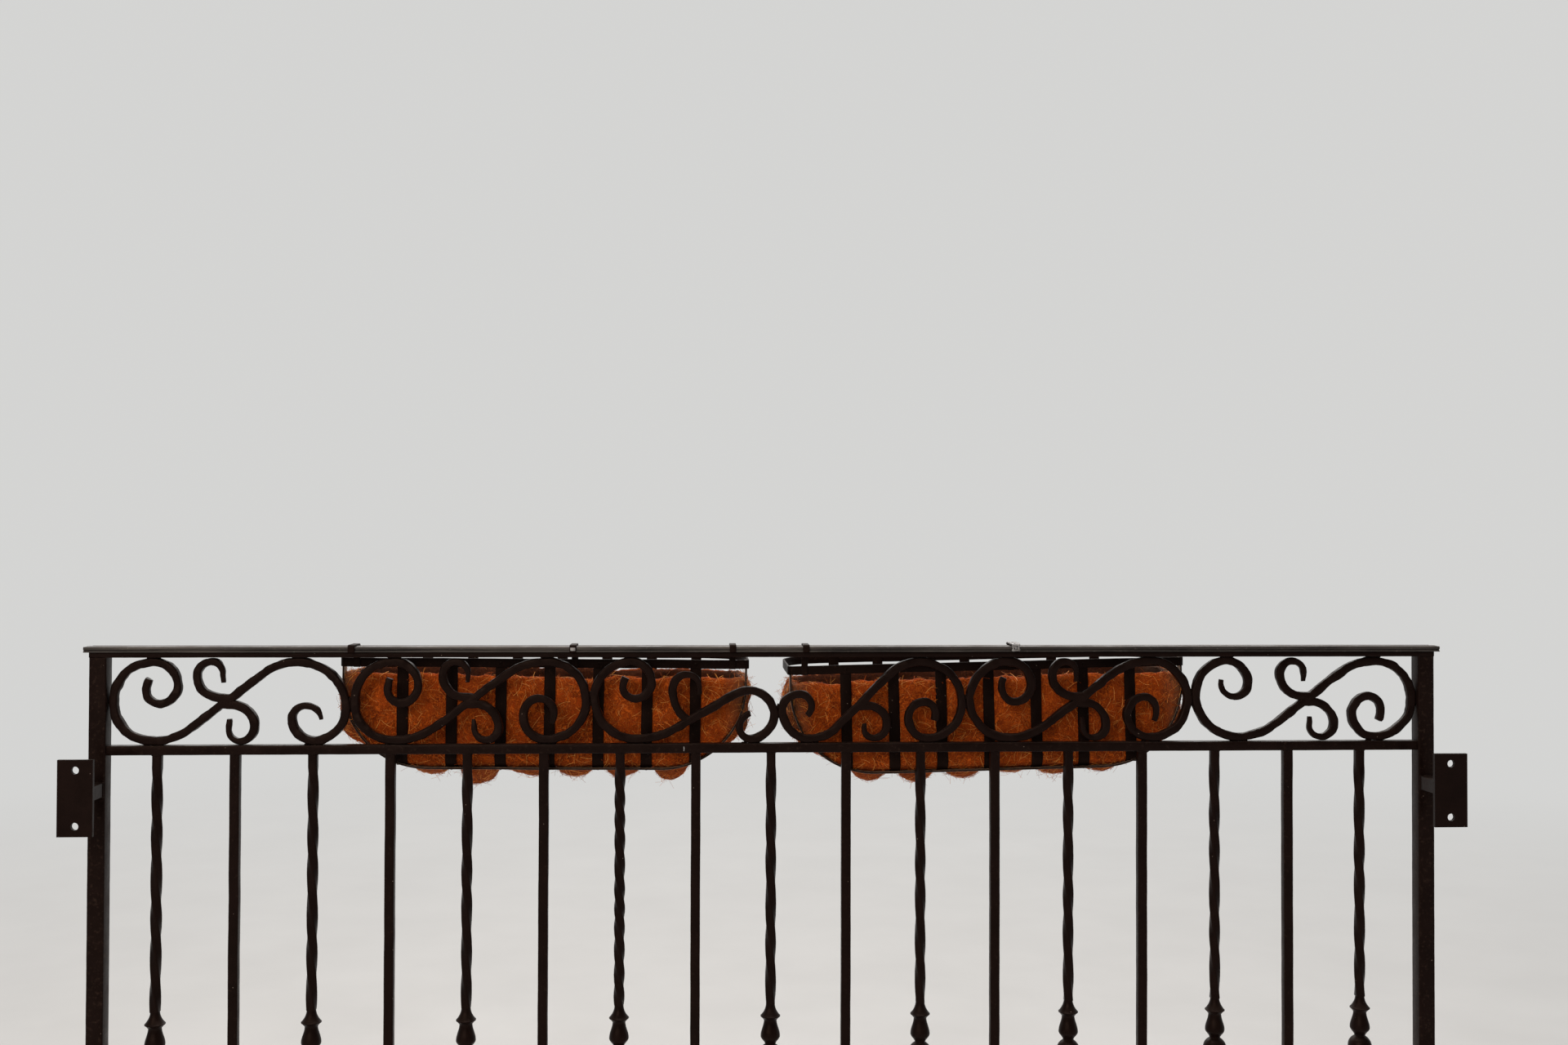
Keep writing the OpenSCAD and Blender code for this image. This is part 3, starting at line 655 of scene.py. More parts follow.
def fibre_tree() -> Tree:
    """Curved fibres strewn over a surface, lying along it or standing off it.

    Returns:
        The tree.
    """
    tree, given, outside = new_tree(
        "coir_fibres", "GeometryNodeTree",
        [("Geometry", "Geometry", None), ("Per Square Metre", "Float", 6000.0),
         ("Length", "Float", 0.024), ("Thickness", "Float", 0.0007),
         ("Lift", "Float", 0.12), ("Curl", "Float", 1.0),
         ("Seed", "Int", 0), ("Material", "Material", None)],
        [("Geometry", "Geometry")])
    scatter = put(tree, "GeometryNodeDistributePointsOnFaces",
                  {"Mesh": given["Geometry"], "Density": given["Per Square Metre"],
                   "Seed": given["Seed"], "Selection": named(tree, "hairy", "BOOLEAN")})
    strand_r = maths(tree, "DIVIDE", given["Thickness"], 2.0)
    section = geo(tree, "CurvePrimitiveCircle", {"Resolution": 3, "Radius": strand_r}, mode="RADIUS")
    bends = ((0.16, 0.10), (-0.28, 0.14), (0.42, 0.22), (-0.10, 0.30), (0.30, 0.02))
    kinds = put(tree, "GeometryNodeJoinGeometry")
    half = product(tree, given["Length"], 0.5)
    curl = product(tree, given["Length"], given["Curl"])
    for sideways, lift in bends:
        middle = put(tree, "ShaderNodeCombineXYZ",
                     {0: 0.0, 1: product(tree, curl, sideways),
                      2: product(tree, curl, lift)}).outputs[0]
        start = put(tree, "ShaderNodeCombineXYZ", {0: product(tree, half, -1.0)}).outputs[0]
        end = put(tree, "ShaderNodeCombineXYZ",
                  {0: half, 1: product(tree, curl, -sideways * 0.7)}).outputs[0]
        curve = geo(tree, "CurveQuadraticBezier",
                    {"Resolution": 4, "Start": start, "Middle": middle, "End": end})
        strand = geo(tree, "CurveToMesh", {"Curve": curve, "Profile Curve": section, "Fill Caps": True})
        as_instance = geo(tree, "GeometryToInstance", {0: strand})
        tree.links.new(as_instance, kinds.inputs[0])
    spin = drawn(tree, 0.0, math.tau, given["Seed"])
    tip = drawn(tree, product(tree, given["Lift"], -1.0), given["Lift"], seed=7)
    turn = put(tree, "ShaderNodeCombineXYZ", {0: 0.0, 1: tip, 2: spin}).outputs[0]
    turn = put(tree, "FunctionNodeEulerToRotation", {0: turn}).outputs[0]
    lie = put(tree, "FunctionNodeRotateRotation",
              {"Rotation": scatter.outputs["Rotation"], "Rotate By": turn},
              rotation_space="LOCAL").outputs[0]
    size = drawn(tree, 0.45, 1.35, seed=11)
    length_only = put(tree, "ShaderNodeCombineXYZ", {0: size, 1: size, 2: 1.0}).outputs[0]
    pick = put(tree, "FunctionNodeRandomValue", {4: 0, 5: len(bends) - 1, "Seed": 3},
               data_type="INT").outputs[2]
    strands = geo(tree, "InstanceOnPoints",
                  {"Points": scatter.outputs["Points"], "Instance": kinds.outputs[0],
                   "Pick Instance": True, "Instance Index": pick, "Rotation": lie,
                   "Scale": length_only})
    strands = carrying(tree, strands, "tint", drawn(tree, 0.0, 1.0, seed=5), "INSTANCE")
    link_outputs(tree, outside, Geometry=finished(tree, strands, given["Material"]))
    return tree


# Meshes

def new_object(name: str, mesh: Mesh) -> Piece:
    """Puts a mesh into the scene.

    Args:
        name: Name of the object.
        mesh: Its mesh.

    Returns:
        The new object.
    """
    piece = bpy.data.objects.new(name, mesh)
    bpy.context.scene.collection.objects.link(piece)
    return piece


def mesh_of(name: str, vertices: Rows, faces: Sequence[Sequence[int]] = (),
            edges: Sequence[Sequence[int]] = ()) -> Mesh:
    """A mesh from points in millimetres.

    Args:
        name: Name of the mesh.
        vertices: Points in millimetres.
        faces: Corners of each face, by number.
        edges: Ends of each loose edge, by number.

    Returns:
        The mesh, in metres.
    """
    mesh = bpy.data.meshes.new(name)
    mesh.from_pydata((np.asarray(vertices, float) * MM).tolist(), [list(e) for e in edges],
                     [list(f) for f in faces])
    mesh.update()
    return mesh


def store(mesh: Mesh, name: str, values: Array, kind: str = "FLOAT") -> None:
    """Writes a point attribute.

    Args:
        mesh: The mesh.
        name: Name of the attribute.
        values: One value or vector for each point.
        kind: FLOAT, FLOAT_VECTOR or BOOLEAN.
    """
    attribute = mesh.attributes.new(name, kind, "POINT")
    label = "vector" if kind == "FLOAT_VECTOR" else "value"
    flat = np.asarray(values, bool if kind == "BOOLEAN" else np.float32).ravel()
    attribute.data.foreach_set(label, flat)


def from_tree(name: str, host: Piece, tree: Tree, values: dict[str, Any]) -> Piece:
    """Runs a geometry tree on a host and makes the result a plain mesh object.

    Args:
        name: Name of the piece.
        host: Object that carries the lines, points or surface.
        tree: The geometry tree.
        values: Input name to value.

    Returns:
        The finished piece.
    """
    modifier = host.modifiers.new("shape", "NODES")
    modifier.node_group = tree
    for item in tree.interface.items_tree:
        if item.item_type == "SOCKET" and item.in_out == "INPUT" and item.name in values:
            modifier[item.identifier] = values[item.name]
    graph = bpy.context.evaluated_depsgraph_get()
    mesh = bpy.data.meshes.new_from_object(host.evaluated_get(graph), preserve_all_data_layers=True,
                                           depsgraph=graph)
    host.modifiers.remove(modifier)
    mesh.name = name
    return new_object(name, mesh)


@dataclass
class Line:
    """A polyline for a bar, in millimetres, with its section's turn and size at each point."""

    points: Array
    across: tuple[float, float, float] = (0.0, 1.0, 0.0)
    twist: Array | None = None
    swell: Array | None = None
    closed: bool = False


@dataclass(frozen=True)
class Section:
    """Section of a bar or strap, in millimetres, and how rough its forging is."""

    width: float
    depth: float
    arris: float
    waver: float = 0.35
    hammering: float = 0.12
    hammer_scale: float = 70.0
    waver_scale: float = 14.0
    arris_steps: int = 3


class Workshop:
    """Makes pieces from lines, points and faces, with the trees and finishes that they share."""

    def __init__(self) -> None:
        """Builds the geometry trees and the materials."""
        self.palette = Palette()
        self.bars = bar_tree()
        self.beads = bead_tree()
        self.fibres = fibre_tree()

    def bar(self, name: str, lines: Sequence[Line], section: Section, finish: Finish) -> Piece:
        """Bars or straps along lines.

        Args:
            name: Name of the piece.
            lines: One or more polylines.
            section: Section and roughness.
            finish: Finish of the bar.

        Returns:
            The piece.
        """
        points, edges, across, twist, swell = [], [], [], [], []
        for line in lines:
            count = len(line.points)
            first = sum(len(p) for p in points)
            points.append(line.points)
            edges += [(first + i, first + i + 1) for i in range(count - 1)]
            if line.closed:
                edges.append((first + count - 1, first))
            across.append(np.tile(line.across, (count, 1)))
            twist.append(np.zeros(count) if line.twist is None else line.twist)
            swell.append(np.ones(count) if line.swell is None else line.swell)
        mesh = mesh_of(name + "_line", np.concatenate(points), edges=edges)
        store(mesh, "across", np.concatenate(across), "FLOAT_VECTOR")
        store(mesh, "twist", np.concatenate(twist))
        store(mesh, "swell", np.concatenate(swell))
        return self.shaped(name, mesh, self.bars, finish, {
            "Width": section.width * MM, "Depth": section.depth * MM, "Arris": section.arris * MM,
            "Arris Steps": section.arris_steps, "Waver": section.waver * MM,
            "Waver Scale": section.waver_scale, "Hammering": section.hammering * MM,
            "Hammer Scale": section.hammer_scale})

    def shaped(self, name: str, mesh: Mesh, tree: Tree, finish: Finish,
               values: dict[str, Any]) -> Piece:
        """Runs a geometry tree on a mesh that is used for nothing else.

        Args:
            name: Name of the piece.
            mesh: Lines or points that the piece grows on.
            tree: The geometry tree.
            finish: Finish of the piece.
            values: Input name to value.

        Returns:
            The piece.
        """
        host = new_object(mesh.name, mesh)
        piece = from_tree(name, host, tree, {**values, "Material": self.palette.of(finish)})
        bpy.data.objects.remove(host)
        return piece

    def bead_row(self, name: str, places: Rows, half_sizes: Rows, roughness: float,
                 finish: Finish) -> Piece:
        """Weld lumps or rivet heads.

        Args:
            name: Name of the piece.
            places: Middle of each bead in millimetres.
            half_sizes: Half sizes of each bead in millimetres.
            roughness: Unevenness in millimetres.
            finish: Finish of the beads.

        Returns:
            The piece.
        """
        mesh = mesh_of(name + "_points", places)
        store(mesh, "bead", np.asarray(half_sizes) * MM, "FLOAT_VECTOR")
        return self.shaped(name, mesh, self.beads, finish, {"Roughness": roughness * MM})

    def solid(self, name: str, vertices: Array, faces: Sequence[Sequence[int]],
              finish: Finish, arris: Array | None = None) -> Piece:
        """A piece from points and faces, smooth where its faces bend gently.

        Args:
            name: Name of the piece.
            vertices: Points in millimetres.
            faces: Corners of each face.
            finish: Finish of the piece.
            arris: How far each point lies on an arris, from 0 to 1.

        Returns:
            The piece.
        """
        mesh = mesh_of(name, vertices, faces)
        if arris is not None:
            store(mesh, "arris", arris)
        mesh.materials.append(self.palette.of(finish))
        piece = new_object(name, mesh)
        tidy_normals(mesh)
        return piece


def tidy_normals(mesh: Mesh) -> None:
    """Turns a closed mesh's faces outwards and shades it smooth up to a sharp bend.

    Args:
        mesh: The mesh, changed in place.
    """
    sharp = math.radians(SHARP_BEND_DEGREES)
    work = bmesh.new()
    work.from_mesh(mesh)
    bmesh.ops.recalc_face_normals(work, faces=work.faces)
    for face in work.faces:
        face.smooth = True
    for edge in work.edges:
        edge.smooth = len(edge.link_faces) < 2 or edge.calc_face_angle(0.0) < sharp
    work.to_mesh(mesh)
    work.free()


def joined(name: str, pieces: Sequence[Piece]) -> Piece:
    """Joins pieces into one object.

    Args:
        name: Name of the result.
        pieces: Objects to join, which share one material order.

    Returns:
        The first piece, which then holds them all.
    """
    with bpy.context.temp_override(active_object=pieces[0], selected_editable_objects=list(pieces)):
        bpy.ops.object.join()
    pieces[0].name = name
    pieces[0].data.name = name
    return pieces[0]


def settle(piece: Piece, slot: str, *nodes: str) -> Piece:
    """Rides a piece on the object's body and hides the nodes that it stands for.

    Args:
        piece: The piece.
        slot: Its slot, which is not used.
        nodes: The nodes that it replaces, if any.

    Returns:
        The piece.
    """
    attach(piece, BODY)
    if nodes:
        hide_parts(*nodes)
    LOG.info("%s: %d faces", piece.name, len(piece.data.polygons))
    return piece


def straight(start: Sequence[float], end: Sequence[float], spacing: float = 6.0) -> Array:
    """Points along a straight line, in millimetres, both ends included.

    Args:
        start: Its first point.
        end: Its last point.
        spacing: About the step between points.

    Returns:
        The points, one in each row.
    """
    start, end = np.array(start, float), np.array(end, float)
    count = max(2, int(np.linalg.norm(end - start) / spacing) + 1)
    return start + (end - start) * np.linspace(0.0, 1.0, count)[:, None]


def tube_faces(rings: int, sides: int) -> list[list[int]]:
    """Faces of a tube of rings that is closed at both ends.

    Args:
        rings: Number of rings along the tube.
        sides: Number of points in a ring.

    Returns:
        The corners of each face, with the points counted ring by ring.
    """
    faces = [[r * sides + k, r * sides + (k + 1) % sides, (r + 1) * sides + (k + 1) % sides,
              (r + 1) * sides + k] for r in range(rings - 1) for k in range(sides)]
    return faces + [list(range(sides)), [(rings - 1) * sides + k for k in range(sides)]]


# Railing

@dataclass
class Railing:
    """Rails, posts, handrail and wall brackets."""

    shop: Workshop
    rail_arris: float = 1.6
    post_arris: float = 2.2
    cap_lip: float = 1.8
    cap_groove: float = 1.1
    cap_groove_in: float = 1.5
    cap_soft: float = 0.5
    cap_crown_r: float = 100.0
    cap_station: float = 8.0
    cap_sway: float = 0.2
    cap_sink: float = 0.12
    chip_x: float = 866.0
    chip_w: float = 1.9
    flange_t: float = 6.0
    bracket_half: float = 10.0
    bead_inset: float = 0.6
    beads_a_side: int = 7

    def build(self) -> None:
        """Builds every piece of the fixed railing but the balusters and the frieze."""
        for node in ("top_rail", "frieze_rail", "bottom_rail"):
            self.long_bar(node, node + "_bar", upright=False)
        for side in ("left", "right"):
            self.long_bar(f"post_{side}", f"{side}_post_bar", upright=True)
        self.cap()
        self.brackets()
        self.paint_chip()

    def long_bar(self, node: str, name: str, upright: bool) -> None:
        """A rail along X, or an upright post, in the place of its node.

        Args:
            node: The node.
            name: Name of the piece.
            upright: Whether it is a post.
        """
        low, high = box_mm(node)
        size, axis = high - low, 2 if upright else 0
        ends = np.tile((low + high) / 2, (2, 1))
        ends[:, axis] = low[axis], high[axis]
        if upright:
            line = Line(straight(*ends, spacing=6.0))
            section = Section(size[1], size[0], self.post_arris, waver=0.1)
        else:
            line = Line(straight(*ends, spacing=5.0), across=(0.0, 0.0, 1.0))
            section = Section(size[2], size[1], self.rail_arris, waver=0.12, hammering=0.08)
        settle(self.shop.bar(name, [line], section, Finish.IRON), "wrought_iron", node)

    def cap_section(self, depth: float, height: float) -> Array:
        """Outline of the moulded cap, as points across (Y) and up (Z) from its foot.

        Args:
            depth: Depth of the cap.
            height: Height of the cap.

        Returns:
            The outline, anticlockwise from the near lower corner.
        """
        half, soft, least_step = depth / 2, self.cap_soft, 0.4
        edge_r = (height - self.cap_lip - self.cap_groove) / 2
        groove_y, groove_top = half - self.cap_groove_in, self.cap_lip + self.cap_groove
        side = [(half - soft, 0.0), (half, soft), (half, self.cap_lip - soft),
                (half - soft, self.cap_lip), (groove_y, self.cap_lip + 0.1), (groove_y, groove_top)]
        for angle in np.radians(np.linspace(-75.0, 60.0, 10)):
            side.append((half - edge_r + edge_r * math.cos(angle),
                         groove_top + edge_r + edge_r * math.sin(angle)))
        top = [(y, height - y * y / (2 * self.cap_crown_r)) for y in np.linspace(half - edge_r, 0.0, 6)]
        right = side + [p for p in top if p[0] < side[-1][0] - least_step]
        left = [(-y, z) for y, z in reversed(right) if y > 0.01]
        return np.array(right + left)

    def cap(self) -> None:
        """The moulded handrail cap, a little uneven along its length."""
        low, high = box_mm("handrail_cap")
        outline = self.cap_section(high[1] - low[1], high[2] - low[2])
        middle_y = (low[1] + high[1]) / 2
        stations = np.linspace(low[0], high[0], int((high[0] - low[0]) / self.cap_station) + 1)
        count = len(outline)
        narrower, nominal_h, edge_w, edge_arris = 0.995, 9.0, 1.2, 0.75
        points = []
        for x in stations:
            sway = self.cap_sway * noise.noise(Vector((x / 170.0, 3.1, 0.0)))
            sink = self.cap_sink * (noise.noise(Vector((x / 60.0, 9.7, 0.0))) - 0.6)
            points.append(np.column_stack([np.full(count, x),
                                           outline[:, 0] * narrower + middle_y + sway,
                                           outline[:, 1] * (1.0 + sink / nominal_h) + low[2]]))
        at_edge = (np.abs(outline[:, 0]) > (high[1] - low[1]) / 2 - edge_w).astype(float)
        piece = self.shop.solid("moulded_cap", np.concatenate(points),
                                tube_faces(len(stations), count), Finish.CAP,
                                np.tile(at_edge * edge_arris, len(stations)))
        settle(piece, "cap_iron", "handrail_cap")

    def paint_chip(self) -> None:
        """A sliver of bare metal where the frieze rail's paint is chipped."""
        low, high = box_mm("frieze_rail")
        x, y, top = self.chip_x, low[1], high[2]
        chip = Line(np.array([(x, y, top - 4.0), (x + 0.4, y, top - 7.0), (x + 0.1, y, top - 11.0)]),
                    across=(1.0, 0.0, 0.0), swell=np.array([0.6, 1.0, 0.5]))
        section = Section(self.chip_w, 0.5, 0.2, waver=0.0, hammering=0.02)
        settle(self.shop.bar("rail_paint_chip", [chip], section, Finish.BRIGHT), "wrought_iron")

    def brackets(self) -> None:
        """Dresses the bracket nodes and lays a weld bead round each bracket bar's two ends."""
        places, sizes = [], []
        level_bead, upright_bead = (2.6, 1.6, 1.3), (1.3, 1.6, 2.6)
        half = self.bracket_half
        for corner in ("lower_left", "upper_left", "lower_right", "upper_right"):
            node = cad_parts["bracket_" + corner]
            node.data.materials.clear()
            node.data.materials.append(self.shop.palette.of(Finish.IRON))
            low, high = box_mm("bracket_" + corner)
            centre_x, centre_z = (low[0] + high[0]) / 2, (low[2] + high[2]) / 2
            for y in (self.flange_t + self.bead_inset, high[1] - self.bead_inset):
                for step in np.linspace(-0.9, 0.9, self.beads_a_side):
                    places += [(centre_x + step * half, y, centre_z + half),
                               (centre_x + step * half, y, centre_z - half),
                               (centre_x + half, y, centre_z + step * half),
                               (centre_x - half, y, centre_z + step * half)]
                    sizes += [level_bead] * 2 + [upright_bead] * 2
        settle(self.shop.bead_row("bracket_weld_beads", places, sizes, 0.3, Finish.IRON), "wrought_iron")


# Balusters

class BarKind(Enum):
    """How a baluster is made, with the quarter turns in each half of it."""

    PLAIN = 0
    SLOW_TWIST = 6
    CLOSE_TWIST = 11


@dataclass
class Balusters:
    """Plain square bars between bars that are twisted above and below a knuckle casting."""

    shop: Workshop
    count: int = 17
    close_bar: int = 7
    plain_bar_w: float = 14.3
    plain_end: float = 20.0
    twist_bar_w: float = 13.4
    twist_uneven: float = 0.05
    twist_waves: float = 2.3
    ball_r: float = 17.7
    waist_r: float = 8.0
    bulb_r: float = 14.7
    bulb_at: float = 28.8
    neck_r: float = 9.6
    neck_at: float = 53.0
    collar_r: float = 14.9
    collar_at: float = 59.0
    flare_power: float = 2.2
    casting_half: float = 79.0
    casting_lap: float = 2.0
    casting_sides: int = 36
    casting_rough: float = 0.22
    ring: float = 3.0
    close_ring: float = 0.6

    def __post_init__(self) -> None:
        """Sets the sections of the two bars."""
        self.plain = Section(self.plain_bar_w, self.plain_bar_w, 1.7, waver=0.3)
        self.twisted = Section(self.twist_bar_w, self.twist_bar_w, 2.9, waver=0.25, hammering=0.14,
                               arris_steps=4)

    def kind(self, number: int) -> BarKind:
        """How the baluster of a number is made, counted from the left."""
        if number % 2 == 0:
            return BarKind.PLAIN
        return BarKind.CLOSE_TWIST if number == self.close_bar else BarKind.SLOW_TWIST

    def build(self) -> None:
        """Builds every baluster and the weld metal at its ends."""
        for number in range(1, self.count + 1):
            if self.kind(number) is BarKind.PLAIN:
                self.plain_bar(number)
            else:
                self.twisted_bar(number)
        self.end_welds()

    def axis(self, number: int) -> tuple[float, float, float, float]:
        """Place of a baluster: x, y, foot and top."""
        low, high = box_mm(f"baluster_{number}")
        return (low[0] + high[0]) / 2, (low[1] + high[1]) / 2, low[2], high[2]

    def plain_bar(self, number: int) -> None:
        """A plain square baluster.

        Args:
            number: Its number from the left.
        """
        x, y, foot, top = self.axis(number)
        line = Line(straight((x, y, foot), (x, y, top), self.ring * 2))
        piece = self.shop.bar(f"plain_baluster_{number}", [line], self.plain, Finish.IRON)
        settle(piece, "wrought_iron", f"baluster_{number}")

    def twisted_bar(self, number: int) -> None:
        """A twisted baluster with its casting.

        Args:
            number: Its number from the left.
        """
        x, y, foot, top = self.axis(number)
        middle = (foot + top) / 2
        kind, plain, lap = self.kind(number), self.plain_end, self.casting_lap
        spacing = self.ring * (self.close_ring if kind is BarKind.CLOSE_TWIST else 1.0)
        lines = []
        for start, end in ((foot, middle - self.casting_half + lap),
                           (middle + self.casting_half - lap, top)):
            points = straight((x, y, start), (x, y, end), spacing)
            free_low, free_high = (start + plain, end) if start == foot else (start, end - plain)
            share = np.clip((points[:, 2] - free_low) / (free_high - free_low), 0.0, 1.0)
            uneven = self.twist_uneven * np.sin(share * math.tau * self.twist_waves + number)
            turned = share + uneven * share * (1 - share)
            lines.append(Line(points, twist=-turned * kind.value * math.pi / 2))
        bars = self.shop.bar(f"twisted_baluster_{number}", lines, self.twisted, Finish.IRON)
        piece = joined(bars.name, [bars, self.casting(number, x, y, middle)])
        settle(piece, "wrought_iron", f"baluster_{number}")

    def casting_outline(self) -> Array:
        """Radius and height of the casting's upper half, from its middle to its end.

        Returns:
            A radius and a height in each row.
        """
        waist_at = math.sqrt(self.ball_r ** 2 - self.waist_r ** 2)
        bar_r = self.twist_bar_w / 2
        flare_in, flare_up = 0.8, 1.1
        flare_r, flare_at = self.collar_r - flare_in, self.collar_at + flare_up

        def eased(from_r: float, to_r: float, from_z: float, to_z: float, count: int) -> list[Point]:
            """Points of a smooth blend between two radii."""
            return [(from_r + (to_r - from_r) * (1 - math.cos(math.pi * t)) / 2,
                     from_z + (to_z - from_z) * t) for t in np.linspace(0, 1, count)]

        ball = [(self.ball_r * math.cos(a), self.ball_r * math.sin(a))
                for a in np.linspace(0.0, math.asin(waist_at / self.ball_r) - 0.06, 12)]
        bulb = eased(self.waist_r, self.bulb_r, waist_at + 0.4, self.bulb_at, 12)
        neck = eased(self.bulb_r, self.neck_r, self.bulb_at, self.neck_at, 14)[1:]
        collar = [(self.collar_r - 1.4, self.collar_at - 1.6), (self.collar_r, self.collar_at - 0.6),
                  (self.collar_r, self.collar_at + 0.5), (flare_r, flare_at)]
        flare = [(bar_r + (flare_r - bar_r) * (1 - t) ** self.flare_power,
                  flare_at + (self.casting_half - self.collar_at - flare_up) * t)
                 for t in np.linspace(0.0, 1.0, 12)][1:]
        return np.array(ball + bulb + neck + collar + flare)

    def casting(self, number: int, x: float, y: float, middle: float) -> Piece:
        """The knuckle casting: a ball between two bulbs and their collars.

        Args:
            number: Number of the baluster, which also varies the surface.
            x: Place along the wall.
            y: Place from the wall.
            middle: Height of the ball.

        Returns:
            The casting as an object.
        """
        half = self.casting_outline()
        outline = np.concatenate([half[::-1] * (1, -1), half[1:]])
        sides = self.casting_sides
        lump_len, apart, lump_scale = 22.0, 7.3, 2.1
        points = []
        for radius, height in outline:
            for k in range(sides):
                angle = math.tau * k / sides
                spot = Vector((math.cos(angle), math.sin(angle), height / lump_len + number * apart))
                rough = self.casting_rough * noise.noise(spot * lump_scale)
                points.append((x + (radius + rough) * math.cos(angle),
                               y + (radius + rough) * math.sin(angle), middle + height))
        bend = np.gradient(np.gradient(outline[:, 0]))
        arris = np.repeat(np.clip(-bend * 1.2, 0.0, 0.6), sides)
        return self.shop.solid(f"casting_{number}", np.array(points),
                               tube_faces(len(outline), sides), Finish.IRON, arris)

    def end_welds(self) -> None:
        """Small beads where each baluster meets its two rails."""
        places, sizes = [], []
        out_x, out_y, inset = 6.6, 6.4, 0.4
        side_bead, face_bead = (1.5, 5.6, 1.4), (6.0, 1.5, 1.4)
        for number in range(1, self.count + 1):
            x, y, foot, top = self.axis(number)
            for z in (foot + inset, top - inset):
                for side in (-1, 1):
                    places += [(x + side * out_x, y, z), (x, y + side * out_y, z)]
                    sizes += [side_bead, face_bead]
        settle(self.shop.bead_row("baluster_weld_beads", places, sizes, 0.5, Finish.IRON), "wrought_iron")


# Frieze

@dataclass(frozen=True)
class Curl:
    """Quarter-turn radii from the diagonal inwards, then the tail's radius and angle."""

    radii: tuple[float, ...]
    tail: tuple[float, float]


@dataclass(frozen=True)
class ScrollKind:
    """Two curls and the diagonal between them.

    Attributes:
        left: The left curl.
        right: The right curl.
        slope: Slope of the diagonal, in degrees.
        left_share: Share of the first bend's radius in the sum of the diagonal's two.
    """

    left: Curl
    right: Curl
    slope: float
    left_share: float


class Pen:
    """Walks a path of arcs and straights and notes points along it."""

    def __init__(self, x: float, z: float, heading: float, spacing: float = 2.5) -> None:
        """Starts at a place, with a heading in degrees."""
        self.x, self.z, self.heading, self.spacing = x, z, heading, spacing
        self.points: list[Point] = [(x, z)]

    def arc(self, radius: float, angle: float) -> "Pen":
        """Turns left by an angle in degrees, or right where it is negative.

        Args:
            radius: Radius of the arc.
            angle: The angle.

        Returns:
            The pen, for the next step.
        """
        side = 1.0 if angle > 0 else -1.0
        start = math.radians(self.heading)
        centre = (self.x - side * radius * math.sin(start), self.z + side * radius * math.cos(start))
        steps = max(3, int(abs(math.radians(angle)) * radius / self.spacing))
        for t in np.linspace(0, 1, steps + 1)[1:]:
            h = start + math.radians(angle) * t
            self.points.append((centre[0] + side * radius * math.sin(h),
                                centre[1] - side * radius * math.cos(h)))
        self.x, self.z = self.points[-1]
        self.heading += angle
        return self

    def ahead(self, length: float) -> "Pen":
        """Goes straight on.

        Args:
            length: How far.

        Returns:
            The pen, for the next step.
        """
        h = math.radians(self.heading)
        steps = max(1, int(length / self.spacing))
        for t in np.linspace(0, 1, steps + 1)[1:]:
            self.points.append((self.x + length * t * math.cos(h), self.z + length * t * math.sin(h)))
        self.x, self.z = self.points[-1]
        return self


